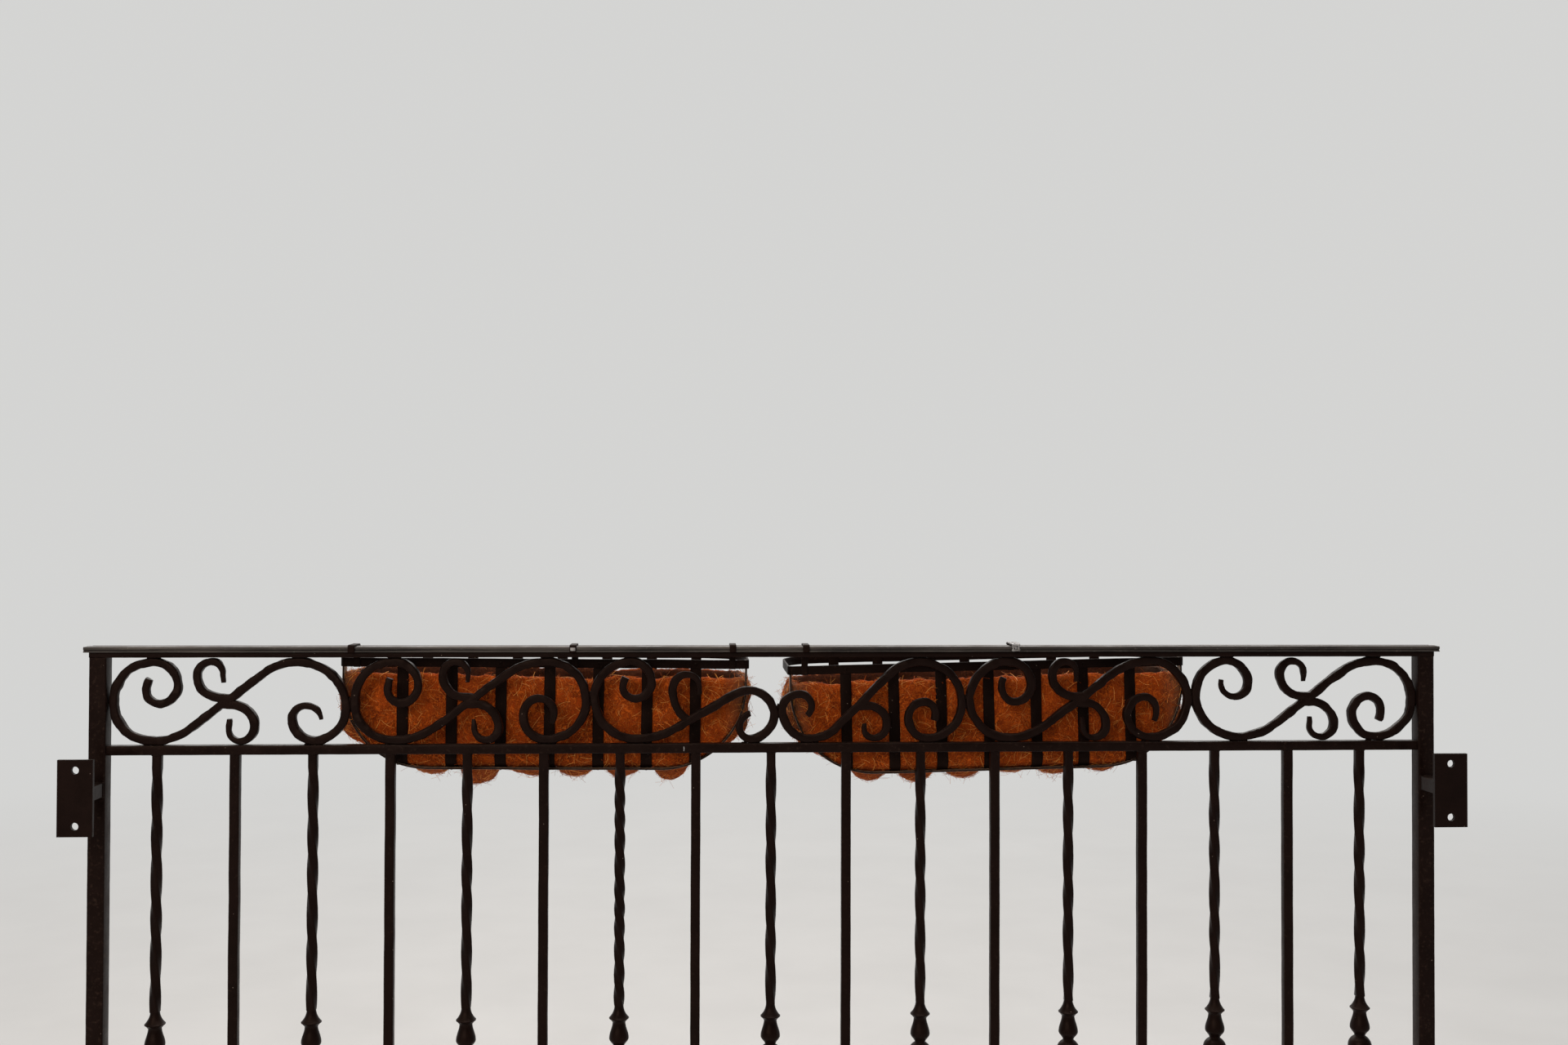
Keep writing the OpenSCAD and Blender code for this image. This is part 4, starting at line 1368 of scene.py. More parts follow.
@dataclass
class Frieze:
    """Six scrolls in a row under the handrail, with small curls on their diagonals."""

    shop: Workshop
    scroll_h: float = 130.0
    frieze_h: float = 131.0
    bar: float = 12.5
    small_long: tuple[float, ...] = (34.0, 20.0, 17.5)
    small_long_tail: float = 14.0
    small_long_at: float = 22.0
    tail_len: float = 62.0
    tails: tuple[Point, ...] = ((0.85, 0.55), (0.82, 0.82), (0.92, 0.75), (0.75, 0.85),
                                (0.80, 0.75), (0.62, 0.85))
    small_tail: float = 0.54
    tip_len: float = 3.0
    tip_less: float = 0.07
    closed_top: Point = (145.5, 104.0)
    closed_radii: tuple[float, float, float] = (19.0, 22.0, 57.0)
    closed_sweep: float = 53.0
    closed_end: float = 11.0
    low_at: float = 138.0
    low_run_in: float = 16.0
    low_radii: tuple[float, float, float] = (29.0, 21.0, 14.0)
    low_end: float = 8.0
    weld_d: float = 4.5

    def __post_init__(self) -> None:
        """Works out the curls and the places of the scrolls from their nodes."""
        self.mid = self.bar / 2
        self.section = Section(self.bar, self.bar, 2.6, waver=0.9, waver_scale=24.0, hammering=1.3,
                               hammer_scale=48.0)
        self.curl_h = self.scroll_h - self.bar
        tall = self.curl_h
        round_curl = Curl((tall / 2, tall / 2, 36.0, 26.0, 20.0), (40.0, 25.0))
        oval_curl = Curl((63.0, tall - 63.0, 31.0, 25.0, 17.0), (40.0, 22.0))
        tall_curl = Curl((65.0, tall - 65.0, 30.0, 24.5, 17.0), (40.0, 15.0))
        first_end = Curl((70.0, tall - 70.0, 32.0, 20.5), (24.0, 84.0))
        last_end = Curl((68.0, tall - 68.0, 33.5, 22.0, 20.0), (40.0, 10.0))
        low_right = Curl((38.0, 35.5, 17.0), (22.0, 75.0))
        low_left = Curl((42.0, 26.0, 18.0), (22.0, 45.0))
        long_kind = ScrollKind(round_curl, round_curl, 37.0, 0.5)
        self.kinds = [ScrollKind(round_curl, first_end, 37.0, 0.5), long_kind,
                      ScrollKind(oval_curl, low_right, 30.0, 0.72),
                      ScrollKind(low_left, tall_curl, 45.0, 0.47), long_kind,
                      ScrollKind(last_end, round_curl, 37.0, 0.5)]
        boxes = [box_mm(f"scroll_{k + 1}") for k in range(len(self.kinds))]
        self.starts = [low[0] for low, _ in boxes] + [boxes[-1][1][0]]
        self.y = float((boxes[0][0][1] + boxes[0][1][1]) / 2)
        self.foot = float(box_mm("frieze_rail")[1][2])

    def width(self, k: int) -> float:
        """Width of a scroll, counted from 0."""
        return self.starts[k + 1] - self.starts[k]

    def build(self) -> None:
        """Builds the scrolls, their small curls and the weld metal."""
        for k in range(len(self.kinds)):
            scroll = self.shop.bar(f"forged_scroll_{k + 1}",
                                   [self.line(k, self.scroll_path(k), self.tails[k])],
                                   self.section, Finish.IRON)
            settle(scroll, "wrought_iron", f"scroll_{k + 1}")
            curls = self.shop.bar(f"forged_curls_{k + 1}",
                                  [self.line(k, path, (1.0, self.small_tail))
                                   for path in self.curl_paths(k)],
                                  self.section, Finish.IRON)
            settle(curls, "wrought_iron", f"curls_{k + 1}")
        self.welds()

    def line(self, k: int, path: Sequence[Point], ends: Point) -> Line:
        """Stands a flat path upright at a scroll's place, with its tails drawn out thinner.

        Args:
            k: The scroll, counted from 0.
            path: Centre line in the scroll's own plane.
            ends: Share of the bar's full thickness at the path's start and at its end.

        Returns:
            The line of the bar.
        """
        flat = np.array(path)
        points = np.column_stack([flat[:, 0] + self.starts[k], np.full(len(flat), self.y),
                                  flat[:, 1] + self.foot])
        run = np.concatenate([[0.0], np.cumsum(np.linalg.norm(np.diff(flat, axis=0), axis=1))])
        swell = np.ones(len(flat))
        for share, reach in zip(ends, (run, run[-1] - run)):
            if share < 1.0:
                swell *= np.interp(reach, (0.0, self.tip_len, self.tail_len),
                                   (share - self.tip_less, share, 1.0))
        return Line(points, swell=swell)

    def corners(self, k: int) -> tuple[Point, Point, float]:
        """Foot of the left curl, top of the right one, and the radii of the diagonal's bends, summed.

        Args:
            k: The scroll, counted from 0.

        Returns:
            Both points and the sum.
        """
        kind, a = self.kinds[k], math.radians(self.kinds[k].slope)
        foot = (self.mid + kind.left.radii[0], self.mid)
        top = (self.width(k) - self.mid - kind.right.radii[0],
               self.mid + kind.right.radii[0] + kind.right.radii[1])
        fall = (top[0] - foot[0]) * math.tan(a) - (top[1] - foot[1])
        bends_r = fall * math.cos(a) / (1 - math.cos(a))
        return foot, top, bends_r

    def scroll_path(self, k: int) -> list[Point]:
        """A scroll's centre line, from its left tail to its right tail.

        Args:
            k: The scroll, counted from 0.

        Returns:
            Points in the scroll's own plane.
        """
        kind = self.kinds[k]
        foot, top, bends_r = self.corners(k)
        slope = math.radians(kind.slope)
        left = Pen(*foot, 180.0)
        for radius in kind.left.radii:
            left.arc(radius, -90.0)
        left.arc(kind.left.tail[0], -kind.left.tail[1])
        length = (top[0] - foot[0] - bends_r * math.sin(slope)) / math.cos(slope)
        right = Pen(*foot, 0.0)
        right.arc(bends_r * kind.left_share, kind.slope).ahead(length)
        right.arc(bends_r * (1 - kind.left_share), -kind.slope)
        for radius in kind.right.radii:
            right.arc(radius, -90.0)
        right.arc(kind.right.tail[0], -kind.right.tail[1])
        return left.points[::-1] + right.points[1:]

    def curl_paths(self, k: int) -> list[list[Point]]:
        """Centre lines of a scroll's small curls, each starting inside the diagonal.

        The third scroll has one closed curl on top, the fourth one low curl, the others two.

        Args:
            k: The scroll, counted from 0.

        Returns:
            Points of each curl, in the scroll's own plane.
        """
        if k == 2:
            right_r, left_r, down_r = self.closed_radii
            over = Pen(*self.closed_top, 0.0).arc(right_r, -90.0).ahead(self.closed_end).points
            down = Pen(*self.closed_top, 180.0).arc(left_r, 90.0).arc(down_r, self.closed_sweep).points
            return [down[::-1] + over[1:]]
        if k == 3:
            radii = self.low_radii
            pen = Pen(self.low_at - self.low_run_in, self.mid + radii[1] + radii[0], 0.0)
            pen.ahead(self.low_run_in)
            for radius in radii:
                pen.arc(radius, -90.0)
            return [pen.ahead(self.low_end).points]
        radii = self.small_long
        run_in = radii[0] / 2
        foot, top, _ = self.corners(k)
        middle = ((foot[0] + top[0]) / 2, self.mid + self.curl_h / 2)
        start = middle[0] + self.small_long_at + radii[1] - radii[0] - run_in
        pen = Pen(start, self.mid + radii[1] + radii[0], 0.0).ahead(run_in)
        for radius in radii:
            pen.arc(radius, -90.0)
        lower = pen.ahead(self.small_long_tail).points
        upper = [(2 * middle[0] - x, 2 * middle[1] - z) for x, z in lower]
        return [lower, upper]

    def welds(self) -> None:
        """Weld metal between neighbours, on the frieze rail and under the handrail."""
        places, sizes = [], []
        side_sizes = ((-6.5, 4.2), (6.5, 5.2))
        foot_size, top_size = (4.6, self.weld_d, 1.5), (4.4, self.weld_d, 1.7)
        foot_z, top_z = 0.7, self.frieze_h - 1.0

        def bead(x: float, z: float, half: tuple[float, float, float]) -> None:
            """Adds one bead."""
            places.append((x, self.y, self.foot + z))
            sizes.append(half)

        for k in range(1, len(self.kinds)):
            low = self.kinds[k].left.radii[0]
            middle = self.mid + (low if k == 3 else (low + self.kinds[k - 1].right.radii[1]) / 2)
            for offset, size in side_sizes:
                bead(self.starts[k], middle + offset, (2.4, self.weld_d, size))
        for k, kind in enumerate(self.kinds):
            left, right = kind.left.radii, kind.right.radii
            x_left = self.starts[k] + self.mid
            x_right = self.starts[k + 1] - self.mid
            for foot in (x_left + left[0], x_right - right[1]):
                for offset in (-9.5, 9.5):
                    bead(foot + offset, foot_z, foot_size)
            full_height = self.curl_h - 1
            tops = [x_left + left[1]] if left[0] + left[1] > full_height else []
            tops += [x_right - right[0]] if right[0] + right[1] > full_height else []
            for top in tops:
                for offset in (-6.0, 0.0, 6.0):
                    bead(top + offset, top_z, top_size)
        beads = self.shop.bead_row("frieze_weld_beads", places, sizes, 0.5, Finish.IRON)
        settle(beads, "wrought_iron", "frieze_welds")


# Baskets

class Side(Enum):
    """Which of the two baskets."""

    LEFT = "left"
    RIGHT = "right"


def rise(values: Array, start: float, over: float) -> Array:
    """0 up to a start, growing to 1 over a stretch and 1 past it."""
    return np.clip((values - start) / over, 0.0, 1.0)


@dataclass
class Felt:
    """Points of a liner and what the felt's bulges there depend on.

    Attributes:
        own: The points, in millimetres in the basket's own axes.
        dome: 0 at a strap and 1 in the middle of a bay.
        bay: Number of the bay, from the left.
        rough: Noise of three sizes at each point.
        low: 0 on the walls and 1 along the keel.
        past: 0 along the basket and 1 at its ends.
        end_free: 1 where the ends hang free of the back and the front.
    """

    own: Array
    dome: Array
    bay: Array
    rough: Array
    low: Array
    past: Array
    end_free: Array


@dataclass
class Basket:
    """A strap basket hooked over the handrail, with its coir liner.

    The basket's own X runs along it from its middle, Y from back to front, Z up from the
    top of its rim.

    Attributes:
        lean: Degrees that its right end hangs lower, or higher where negative.
        hooks: Places of the hooks along the basket.
        drops: How far the felt sinks in each bay, with one value more for each end.
        slumps: How far its upper edge sags at the left end, the middle and the right end.
        end_bulges: How far it bulges past the left and the right end of the keel strap.
        strap_shift: How far the upright straps stand to the right of an even spread.
        end_zone: Length at each end over which the felt turns from wall to end.
    """

    shop: Workshop
    side: Side
    middle_x: float
    rim_top: float
    lean: float
    hooks: tuple[float, ...]
    drops: tuple[float, ...]
    slumps: tuple[float, float, float]
    end_bulges: Point
    strap_shift: float
    seed: int
    length: float = 608.0
    depth: float = 210.0
    height: float = 166.0
    end_r: float = 127.0
    front_r: float = 130.0
    back_r: float = 15.0
    plan_r: float = 70.0
    strap_t: float = 3.0
    strap_w: float = 17.0
    strap_top: float = -0.5
    rim_h: float = 13.6
    rim_back_r: float = 7.0
    rim_up: float = 0.3
    pitch: float = 74.0
    straps_each_side: int = 3
    hook_w: float = 10.0
    hook_t: float = 2.5
    hook_lip: float = 9.0
    hook_bend: float = 2.2
    end_zone: float = 60.0
    fade_zone: float = 34.0
    end_round: float = 16.0
    felt_voxel: float = 0.0045

    def __post_init__(self) -> None:
        """Reads the handrail's place and works out the basket's."""
        cap_low, cap_high = box_mm("handrail_cap")
        self.rail_y = float((cap_low[1] + cap_high[1]) / 2)
        self.cap_half = float((cap_high[1] - cap_low[1]) / 2)
        self.cap_top = float(cap_high[2])
        self.back_y = self.rail_y + self.cap_half + self.hook_t + 2 * self.strap_t
        turn = Matrix.Rotation(math.radians(self.lean), 4, "Y")
        self.place = Matrix.Translation((self.middle_x, self.back_y, self.rim_top)) @ turn

    def world(self, points: Rows) -> Array:
        """Carries points from the basket's own axes to the object's."""
        turned = np.array(self.place.to_3x3()) @ np.asarray(points, float).T
        return turned.T + np.array(self.place.translation)

    def build(self) -> None:
        """Builds the strap frame, its rivets and the liner with its fibres."""
        self.frame_straps()
        self.rivets()
        self.liner()

    def keel_z(self, x: float) -> float:
        """Height of the liner's keel at a place along the basket.

        Args:
            x: The place.

        Returns:
            The height under the rim's top, negative.
        """
        past = abs(x) - (self.length / 2 - self.end_r)
        rise = self.end_r - math.sqrt(max(self.end_r ** 2 - max(past, 0.0) ** 2, 0.0))
        return -self.height + rise

    def rim_line(self) -> Line:
        """Closed line round the top, with tight back corners and wide front ones.

        Returns:
            The line.
        """
        out = 1.5 * self.strap_t
        half, front = self.length / 2 + out, self.depth + out
        back_r, plan_r = self.rim_back_r, self.plan_r + out
        pen = Pen(-half + back_r, -out, 0.0, 5.0).ahead(2 * (half - back_r)).arc(back_r, 90.0)
        pen.ahead(front + out - back_r - plan_r).arc(plan_r, 90.0).ahead(2 * (half - plan_r))
        pen.arc(plan_r, 90.0).ahead(front + out - back_r - plan_r).arc(back_r, 90.0)
        flat = np.array(pen.points[:-1])
        points = np.column_stack([flat, np.full(len(flat), self.rim_up - self.rim_h / 2)])
        return Line(self.world(points), across=(0.0, 0.0, 1.0), closed=True)

    def upright_line(self, x: float) -> Line:
        """A strap down the back, under the liner and up the front.

        Args:
            x: Its place along the basket.

        Returns:
            The line.
        """
        out, top = self.strap_t / 2, self.strap_top
        foot, front = -self.height - out, self.depth + out
        pen = Pen(-out, top, -90.0, 4.0).ahead(top - foot - self.back_r - out)
        pen.arc(self.back_r + out, 90.0).ahead(front - self.front_r - self.back_r - out)
        pen.arc(self.front_r + out, 90.0).ahead(top - foot - self.front_r - out)
        flat = np.array(pen.points)
        flat[:, 1] = np.maximum(flat[:, 1], self.keel_z(x) - out)
        points = np.column_stack([np.full(len(flat), x), flat])
        return Line(self.world(points), across=(1.0, 0.0, 0.0))

    def keel_line(self) -> Line:
        """The strap down one end, along under the back and up the other end.

        Returns:
            The line.
        """
        out, top = self.strap_t / 2, self.strap_top
        half, foot, bend = self.length / 2 + out, -self.height - out, self.end_r + out
        pen = Pen(-half, top, -90.0, 4.0).ahead(top - foot - bend).arc(bend, 90.0)
        pen.ahead(2 * (half - bend)).arc(bend, 90.0).ahead(top - foot - bend)
        flat = np.array(pen.points)
        y = np.full(len(flat), self.strap_w / 2 - self.strap_t)
        return Line(self.world(np.column_stack([flat[:, 0], y, flat[:, 1]])))

    def hook_line(self, offset: float) -> Line:
        """A hook from its lip over the cap and down behind the rim.

        Args:
            offset: Its place along the basket.

        Returns:
            The line.
        """
        x = self.middle_x + offset
        out, bend = self.hook_t / 2, self.hook_bend
        near = self.rail_y - self.cap_half - out
        far = self.rail_y + self.cap_half + out
        over = self.cap_top + out
        rim_z = self.rim_top - offset * math.sin(math.radians(self.lean))
        pen = Pen(near, self.cap_top - self.hook_lip, 90.0, 1.2)
        pen.ahead(over - bend - self.cap_top + self.hook_lip).arc(bend, -90.0)
        pen.ahead(far - near - 2 * bend).arc(bend, -90.0).ahead(over - bend - rim_z + self.rim_h)
        flat = np.array(pen.points)
        return Line(np.column_stack([np.full(len(flat), x), flat]), across=(1.0, 0.0, 0.0))

    def strap_places(self) -> list[float]:
        """Places of the upright straps along the basket."""
        return [i * self.pitch + self.strap_shift
                for i in range(-self.straps_each_side, self.straps_each_side + 1)]

    def frame_straps(self) -> None:
        """The rim, the upright straps, the keel strap and the hooks as one piece."""
        flat = dict(waver=0.35, hammering=0.08, arris_steps=2)
        rim = Section(self.rim_h, self.strap_t, 0.8, **flat)
        strap = Section(self.strap_w, self.strap_t, 0.8, **flat)
        hook = Section(self.hook_w, self.hook_t, 0.7, waver=0.1, hammering=0.08, arris_steps=2)
        name = self.side.value + "_basket_straps"
        bars = [self.shop.bar(name + end, lines, section, finish) for end, lines, section, finish in (
            ("_rim", [self.rim_line()], rim, Finish.STRAP),
            ("_up", [self.upright_line(x) for x in self.strap_places()], strap, Finish.STRAP),
            ("_keel", [self.keel_line()], strap, Finish.KEEL),
            ("_hooks", [self.hook_line(x) for x in self.hooks], hook, Finish.STRAP))]
        settle(joined(name, bars), "strap_iron", f"basket_frame_{self.side.value}")

    def rivets(self) -> None:
        """Rivet heads where the upright straps cross the rim and the keel strap."""
        places, sizes = [], []
        skin = 2 * self.strap_t
        out, down = 0.2, 0.4
        rim_rivet, keel_rivet = (2.4, 1.3, 2.4), (2.2, 2.2, 1.2)
        for x in self.strap_places():
            places += [(x, -skin - out, -self.rim_h / 2), (x, self.depth + skin + out, -self.rim_h / 2),
                       (x, self.strap_w / 2 - self.strap_t, self.keel_z(x) - self.strap_t - down)]
            sizes += [rim_rivet, rim_rivet, keel_rivet]
        name = self.side.value + "_basket_rivets"
        settle(self.shop.bead_row(name, self.world(places), sizes, 0.1, Finish.STRAP), "strap_iron")

    def felt_shape(self) -> Mesh:
        """The liner's solid, remeshed finely enough to bulge and fray.

        Returns:
            A closed mesh in metres.
        """
        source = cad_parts[f"coir_liner_{self.side.value}"]
        mesh = source.data.copy()
        host = new_object("felt_host", mesh)
        work = bmesh.new()
        work.from_mesh(mesh)
        bmesh.ops.remove_doubles(work, verts=work.verts, dist=0.00001)
        work.to_mesh(mesh)
        work.free()
        remesh = host.modifiers.new("remesh", "REMESH")
        remesh.mode = "VOXEL"
        remesh.voxel_size = self.felt_voxel
        graph = bpy.context.evaluated_depsgraph_get()
        fine = bpy.data.meshes.new_from_object(host.evaluated_get(graph), depsgraph=graph)
        bpy.data.objects.remove(host)
        return fine

    def bay_share(self, x: Array) -> tuple[Array, Array]:
        """How far the felt is free between two straps, and the number of its bay.

        Args:
            x: Places along the basket.

        Returns:
            A dome from 0 at a strap to 1 in the middle of its bay, and the bay from the left.
        """
        bays = 2 * self.straps_each_side
        along = x - self.strap_shift
        number = np.clip(np.floor(along / self.pitch) + self.straps_each_side, -1, bays).astype(int)
        middle = (number - self.straps_each_side + 0.5) * self.pitch
        free = (self.pitch - self.strap_w) / 2
        dome = np.sqrt(np.clip(1.0 - ((along - middle) / free) ** 2, 0.0, 1.0))
        last = self.straps_each_side * self.pitch + self.strap_w / 2
        at_end = rise(np.abs(along), last, self.end_round)
        return np.where(np.abs(along) > last, at_end, dome), number

    def end_share(self, x: Array, zone: float) -> Array:
        """0 along the basket, growing to 1 at its ends over a zone."""
        return rise(np.abs(x) - self.length / 2, -zone, zone)

    def felt_at(self, own: Array) -> Felt:
        """Works out what the felt's bulges at points depend on.

        Args:
            own: Points in the basket's own axes.

        Returns:
            The points with those values.
        """
        x, y, z = own.T
        coarse, fine, edge_size, apart = 36.0, 11.0, 7.0, 11.0
        rough = [[noise.noise(Vector((px / size + self.seed * apart, py / size, pz / size)))
                  for size in (coarse, fine)]
                 + [noise.noise(Vector((px / edge_size, py / edge_size, 4.0)))] for px, py, pz in own]
        low = rise(-z - self.height, -62.0, 40.0) ** 0.7
        free_of_front = np.clip((self.depth - 20.0 - y) / 90.0, 0.0, 1.0)
        return Felt(own, *self.bay_share(x), np.array(rough), low, self.end_share(x, self.end_zone),
                    rise(y, 14.5, 9.0) * free_of_front)

    def sink(self, felt: Felt) -> Array:
        """How far the felt drops between the straps along the keel.

        Args:
            felt: The felt's points.

        Returns:
            Millimetres down for each point.
        """
        y = felt.own[:, 1]
        drop = np.array(self.drops)[np.clip(felt.bay + 1, 0, len(self.drops) - 1)]
        under = rise(y, 13.0, 22.0) * np.clip(1.3 - (y - 60.0) / 150.0, 0.0, 1.0)
        less_at_end = 1.0 - 0.75 * felt.past
        return felt.low * under * felt.dome * drop * less_at_end * (1.0 + 0.35 * felt.rough[:, 0])

    def wall_bulges(self, felt: Felt) -> tuple[Array, Array]:
        """How far the back wall and the front wall bulge out between the straps.

        Args:
            felt: The felt's points.

        Returns:
            Millimetres out at the back, and at the front.
        """
        _, y, z = felt.own.T
        back_out, front_out = 4.2, 6.0
        uneven = 1.0 + felt.rough[:, 0]
        wall = rise(-z, 20.0, 25.0) * (1.0 - felt.low)
        back = wall * felt.dome * back_out * np.clip(1.0 - y / 25.0, 0.0, 1.0) * uneven
        front = rise(y, 60.0, 90.0) * felt.dome * front_out * (1.0 - 0.6 * felt.past) * uneven
        return back, front

    def end_moves(self, felt: Felt) -> tuple[Array, Array]:
        """How far an end's belly, and its corner beside the keel strap, move along X.

        Args:
            felt: The felt's points.

        Returns:
            Millimetres for the belly, and for the corner.
        """
        x, _, z = felt.own.T
        belly = rise(-z, 15.0, 35.0) * (1.0 - 0.5 * felt.low)
        full = np.sign(x) * felt.past ** 2 * felt.end_free * belly * (10.0 + 8.0 * felt.rough[:, 0])
        round_x = np.clip(np.abs(x) - self.length / 2 + self.end_r, 0.0, None)
        round_z = np.clip(-z - self.height + self.end_r, 0.0, None)
        turn = np.degrees(np.arctan2(round_z, np.maximum(round_x, 1.0)))
        corner = np.interp(turn, (14.0, 34.0, 43.0, 53.0), (0.0, 1.0, 1.0, 0.0))
        amount = np.where(x < 0.0, self.end_bulges[0], self.end_bulges[1])
        return full, np.sign(x) * felt.end_free * corner * amount * (1.0 + 0.5 * felt.rough[:, 0])

    def lumps(self, felt: Felt) -> Array:
        """Small lumps of the felt, outwards and inwards, held down at the straps and the back.

        Args:
            felt: The felt's points.

        Returns:
            A vector for each point.
        """
        outwards = felt.own - np.array([0.0, self.depth * 0.48, -self.height * 0.4])
        outwards[:, 0] *= felt.past
        outwards /= np.maximum(np.linalg.norm(outwards, axis=1), 1.0)[:, None]
        held = np.where(felt.own[:, 1] < 16.0, 0.35, 1.0) * (0.35 + 0.65 * felt.dome)
        return outwards * (held * (1.6 * felt.rough[:, 0] + 1.3 * felt.rough[:, 1]))[:, None]

    def frayed(self, felt: Felt) -> Array:
        """How far the upper edge rises and sags.

        Args:
            felt: The felt's points.

        Returns:
            Millimetres up for each point.
        """
        x, y, z = felt.own.T
        coarse, fine, finest = felt.rough.T
        slump = np.interp(x, (-self.length / 2, 0.0, self.length / 2), self.slumps)
        slump += np.interp(y, (60.0, 170.0), (0.0, 1.0)) * (8.0 * coarse + 2.5)
        return rise(z, -60.0, 35.0) * (4.5 * coarse + 2.0 * fine + 1.6 * finest - slump)

    def bulge(self, own: Array) -> Array:
        """How far the felt moves at points in the basket's own axes.

        Args:
            own: Points in millimetres.

        Returns:
            A vector for each point, in millimetres.
        """
        felt = self.felt_at(own)
        back, front = self.wall_bulges(felt)
        belly, corner = self.end_moves(felt)
        move = np.zeros_like(own)
        move[:, 2] -= self.sink(felt)
        move[:, 1] -= back
        move[:, 1] += front
        move[:, 0] += belly
        move[:, 0] += corner
        move += self.lumps(felt)
        move[:, 2] += self.frayed(felt)
        return move

    def liner(self) -> None:
        """The coir liner and the fibres that stand on it."""
        mesh = self.felt_shape()
        flat = np.zeros(len(mesh.vertices) * 3, np.float32)
        mesh.vertices.foreach_get("co", flat)
        world = flat.reshape(-1, 3).astype(float) / MM
        inverse = np.array(self.place.inverted())
        own = world @ inverse[:3, :3].T + inverse[:3, 3]
        moved = self.world(own + self.bulge(own))
        mesh.vertices.foreach_set("co", (moved * MM).astype(np.float32).ravel())
        mesh.update()
        mesh.materials.clear()
        mesh.materials.append(self.shop.palette.of(Finish.COIR))
        mesh.name = self.side.value + "_coir_liner"
        hairy = self.felt_fields(mesh, own, moved)
        piece = new_object(mesh.name, mesh)
        tidy_normals(mesh)
        settle(piece, "coir", f"coir_liner_{self.side.value}")
        self.fibres(piece, "_coir_fibres", {"Per Square Metre": 17000.0, "Length": 0.020,
                                            "Thickness": 0.00062, "Lift": 0.14, "Curl": 0.5,
                                            "Seed": self.seed})
        x, y, z = own.T
        at_keel, at_end = z < -150.0, np.abs(x) > self.length / 2 - 40.0
        at_back_edge = (z > -32.0) & (y < 5.0)
        shaggy = hairy & (at_keel | at_end | at_back_edge)
        mesh.attributes["hairy"].data.foreach_set("value", shaggy)
        self.fibres(piece, "_loose_hairs", {"Per Square Metre": 4200.0, "Length": 0.028,
                                            "Thickness": 0.00034, "Lift": 1.2,
                                            "Seed": self.seed + 40})

    def felt_fields(self, mesh: Mesh, own: Array, moved: Array) -> Array:
        """Stores where fibres stand on the felt, where its inside is darkened by soil stain and painted
        shade, and where it is faded.

        Args:
            mesh: The liner's mesh.
            own: Its points before they moved, in the basket's own axes.
            moved: Its points as they are, in the object's axes.

        Returns:
            Whether fibres stand at each point.
        """
        x, _, z = own.T
        outer = np.array([v.normal[:] for v in mesh.vertices])
        heart = self.world(np.array([[0.0, self.depth * 0.5, -self.height * 0.35]]))[0]
        away = moved - heart
        away[:, 0] *= self.end_share(x, self.end_zone)
        outside = (np.sum(outer * away, axis=1) > 0) | (z > -15.0)
        strapped = (self.bay_share(x)[0] < 0.15) & (np.abs(x) < self.length / 2 - self.end_zone)
        hairy = outside & ~strapped
        store(mesh, "hairy", hairy, "BOOLEAN")
        # Inner faces are darkened: soil stain and painted shade of the basket's hollow.
        store(mesh, "stained_and_shaded", np.where(outside, 0.0, 1.0))
        faded_low = np.minimum(rise(-z, 158.0, 25.0), 0.7)
        store(mesh, "faded", np.maximum(self.end_share(x, self.fade_zone), faded_low))
        return hairy

    def fibres(self, liner: Piece, end: str, values: dict[str, Any]) -> None:
        """Fibres on the liner, with values for the inputs of their tree."""
        values["Material"] = self.shop.palette.of(Finish.STRAND)
        settle(from_tree(self.side.value + end, liner, self.shop.fibres, values), "coir")


@dataclass
class Clip:
    """Bright metal on the lip of each basket's middle hook."""

    shop: Workshop
    x: float
    crumpled: bool
    hook_t: float = 2.5

    def build(self) -> None:
        """Builds the worn plate on the lip, or the crumpled tie round it."""
        low, high = box_mm("handrail_cap")
        near, far = float(low[1]) - self.hook_t, float(high[1]) + self.hook_t
        top = float(high[2]) + self.hook_t
        if not self.crumpled:
            y = near - 0.2
            plate = Line(straight((self.x, y, top - 4.2), (self.x, y, top - 9.0), 1.2),
                         across=(1.0, 0.0, 0.0))
            section = Section(7.6, 0.9, 0.4, waver=0.1, hammering=0.1, hammer_scale=240.0)
            settle(self.shop.bar("hook_plate", [plate], section, Finish.BRIGHT), "strap_iron")
            return
        pen = Pen(near - 1.2, top - 9.5, 90.0, 0.8).ahead(8.5).arc(2.0, -90.0)
        pen.ahead(far - near - 3.0).arc(2.0, -90.0).ahead(5.0)
        flat = np.array(pen.points)
        lines = [Line(np.column_stack([np.full(len(flat), self.x + dx), flat]), across=(1.0, 0.0, 0.0),
                      swell=0.85 + 0.3 * np.sin(np.arange(len(flat)) * rate))
                 for dx, rate in ((-4.2, 0.9), (0.0, 1.3), (4.0, 0.7))]
        section = Section(4.6, 2.2, 1.0, waver=0.9, hammering=0.6, hammer_scale=260.0)
        settle(self.shop.bar("crumpled_tie", lines, section, Finish.BRIGHT), "strap_iron")


# Studio

@dataclass(frozen=True)
class Panel:
    """A soft rectangular light.

    Attributes:
        name: Name of the light.
        at: Place in metres.
        towards: Point that it faces, in metres.
        size: Width and height in metres.
        power: Watts.
        colour: Colour of the light.
    """

    name: str
    at: tuple[float, float, float]
    towards: tuple[float, float, float]
    size: tuple[float, float]
    power: float
    colour: Rgb


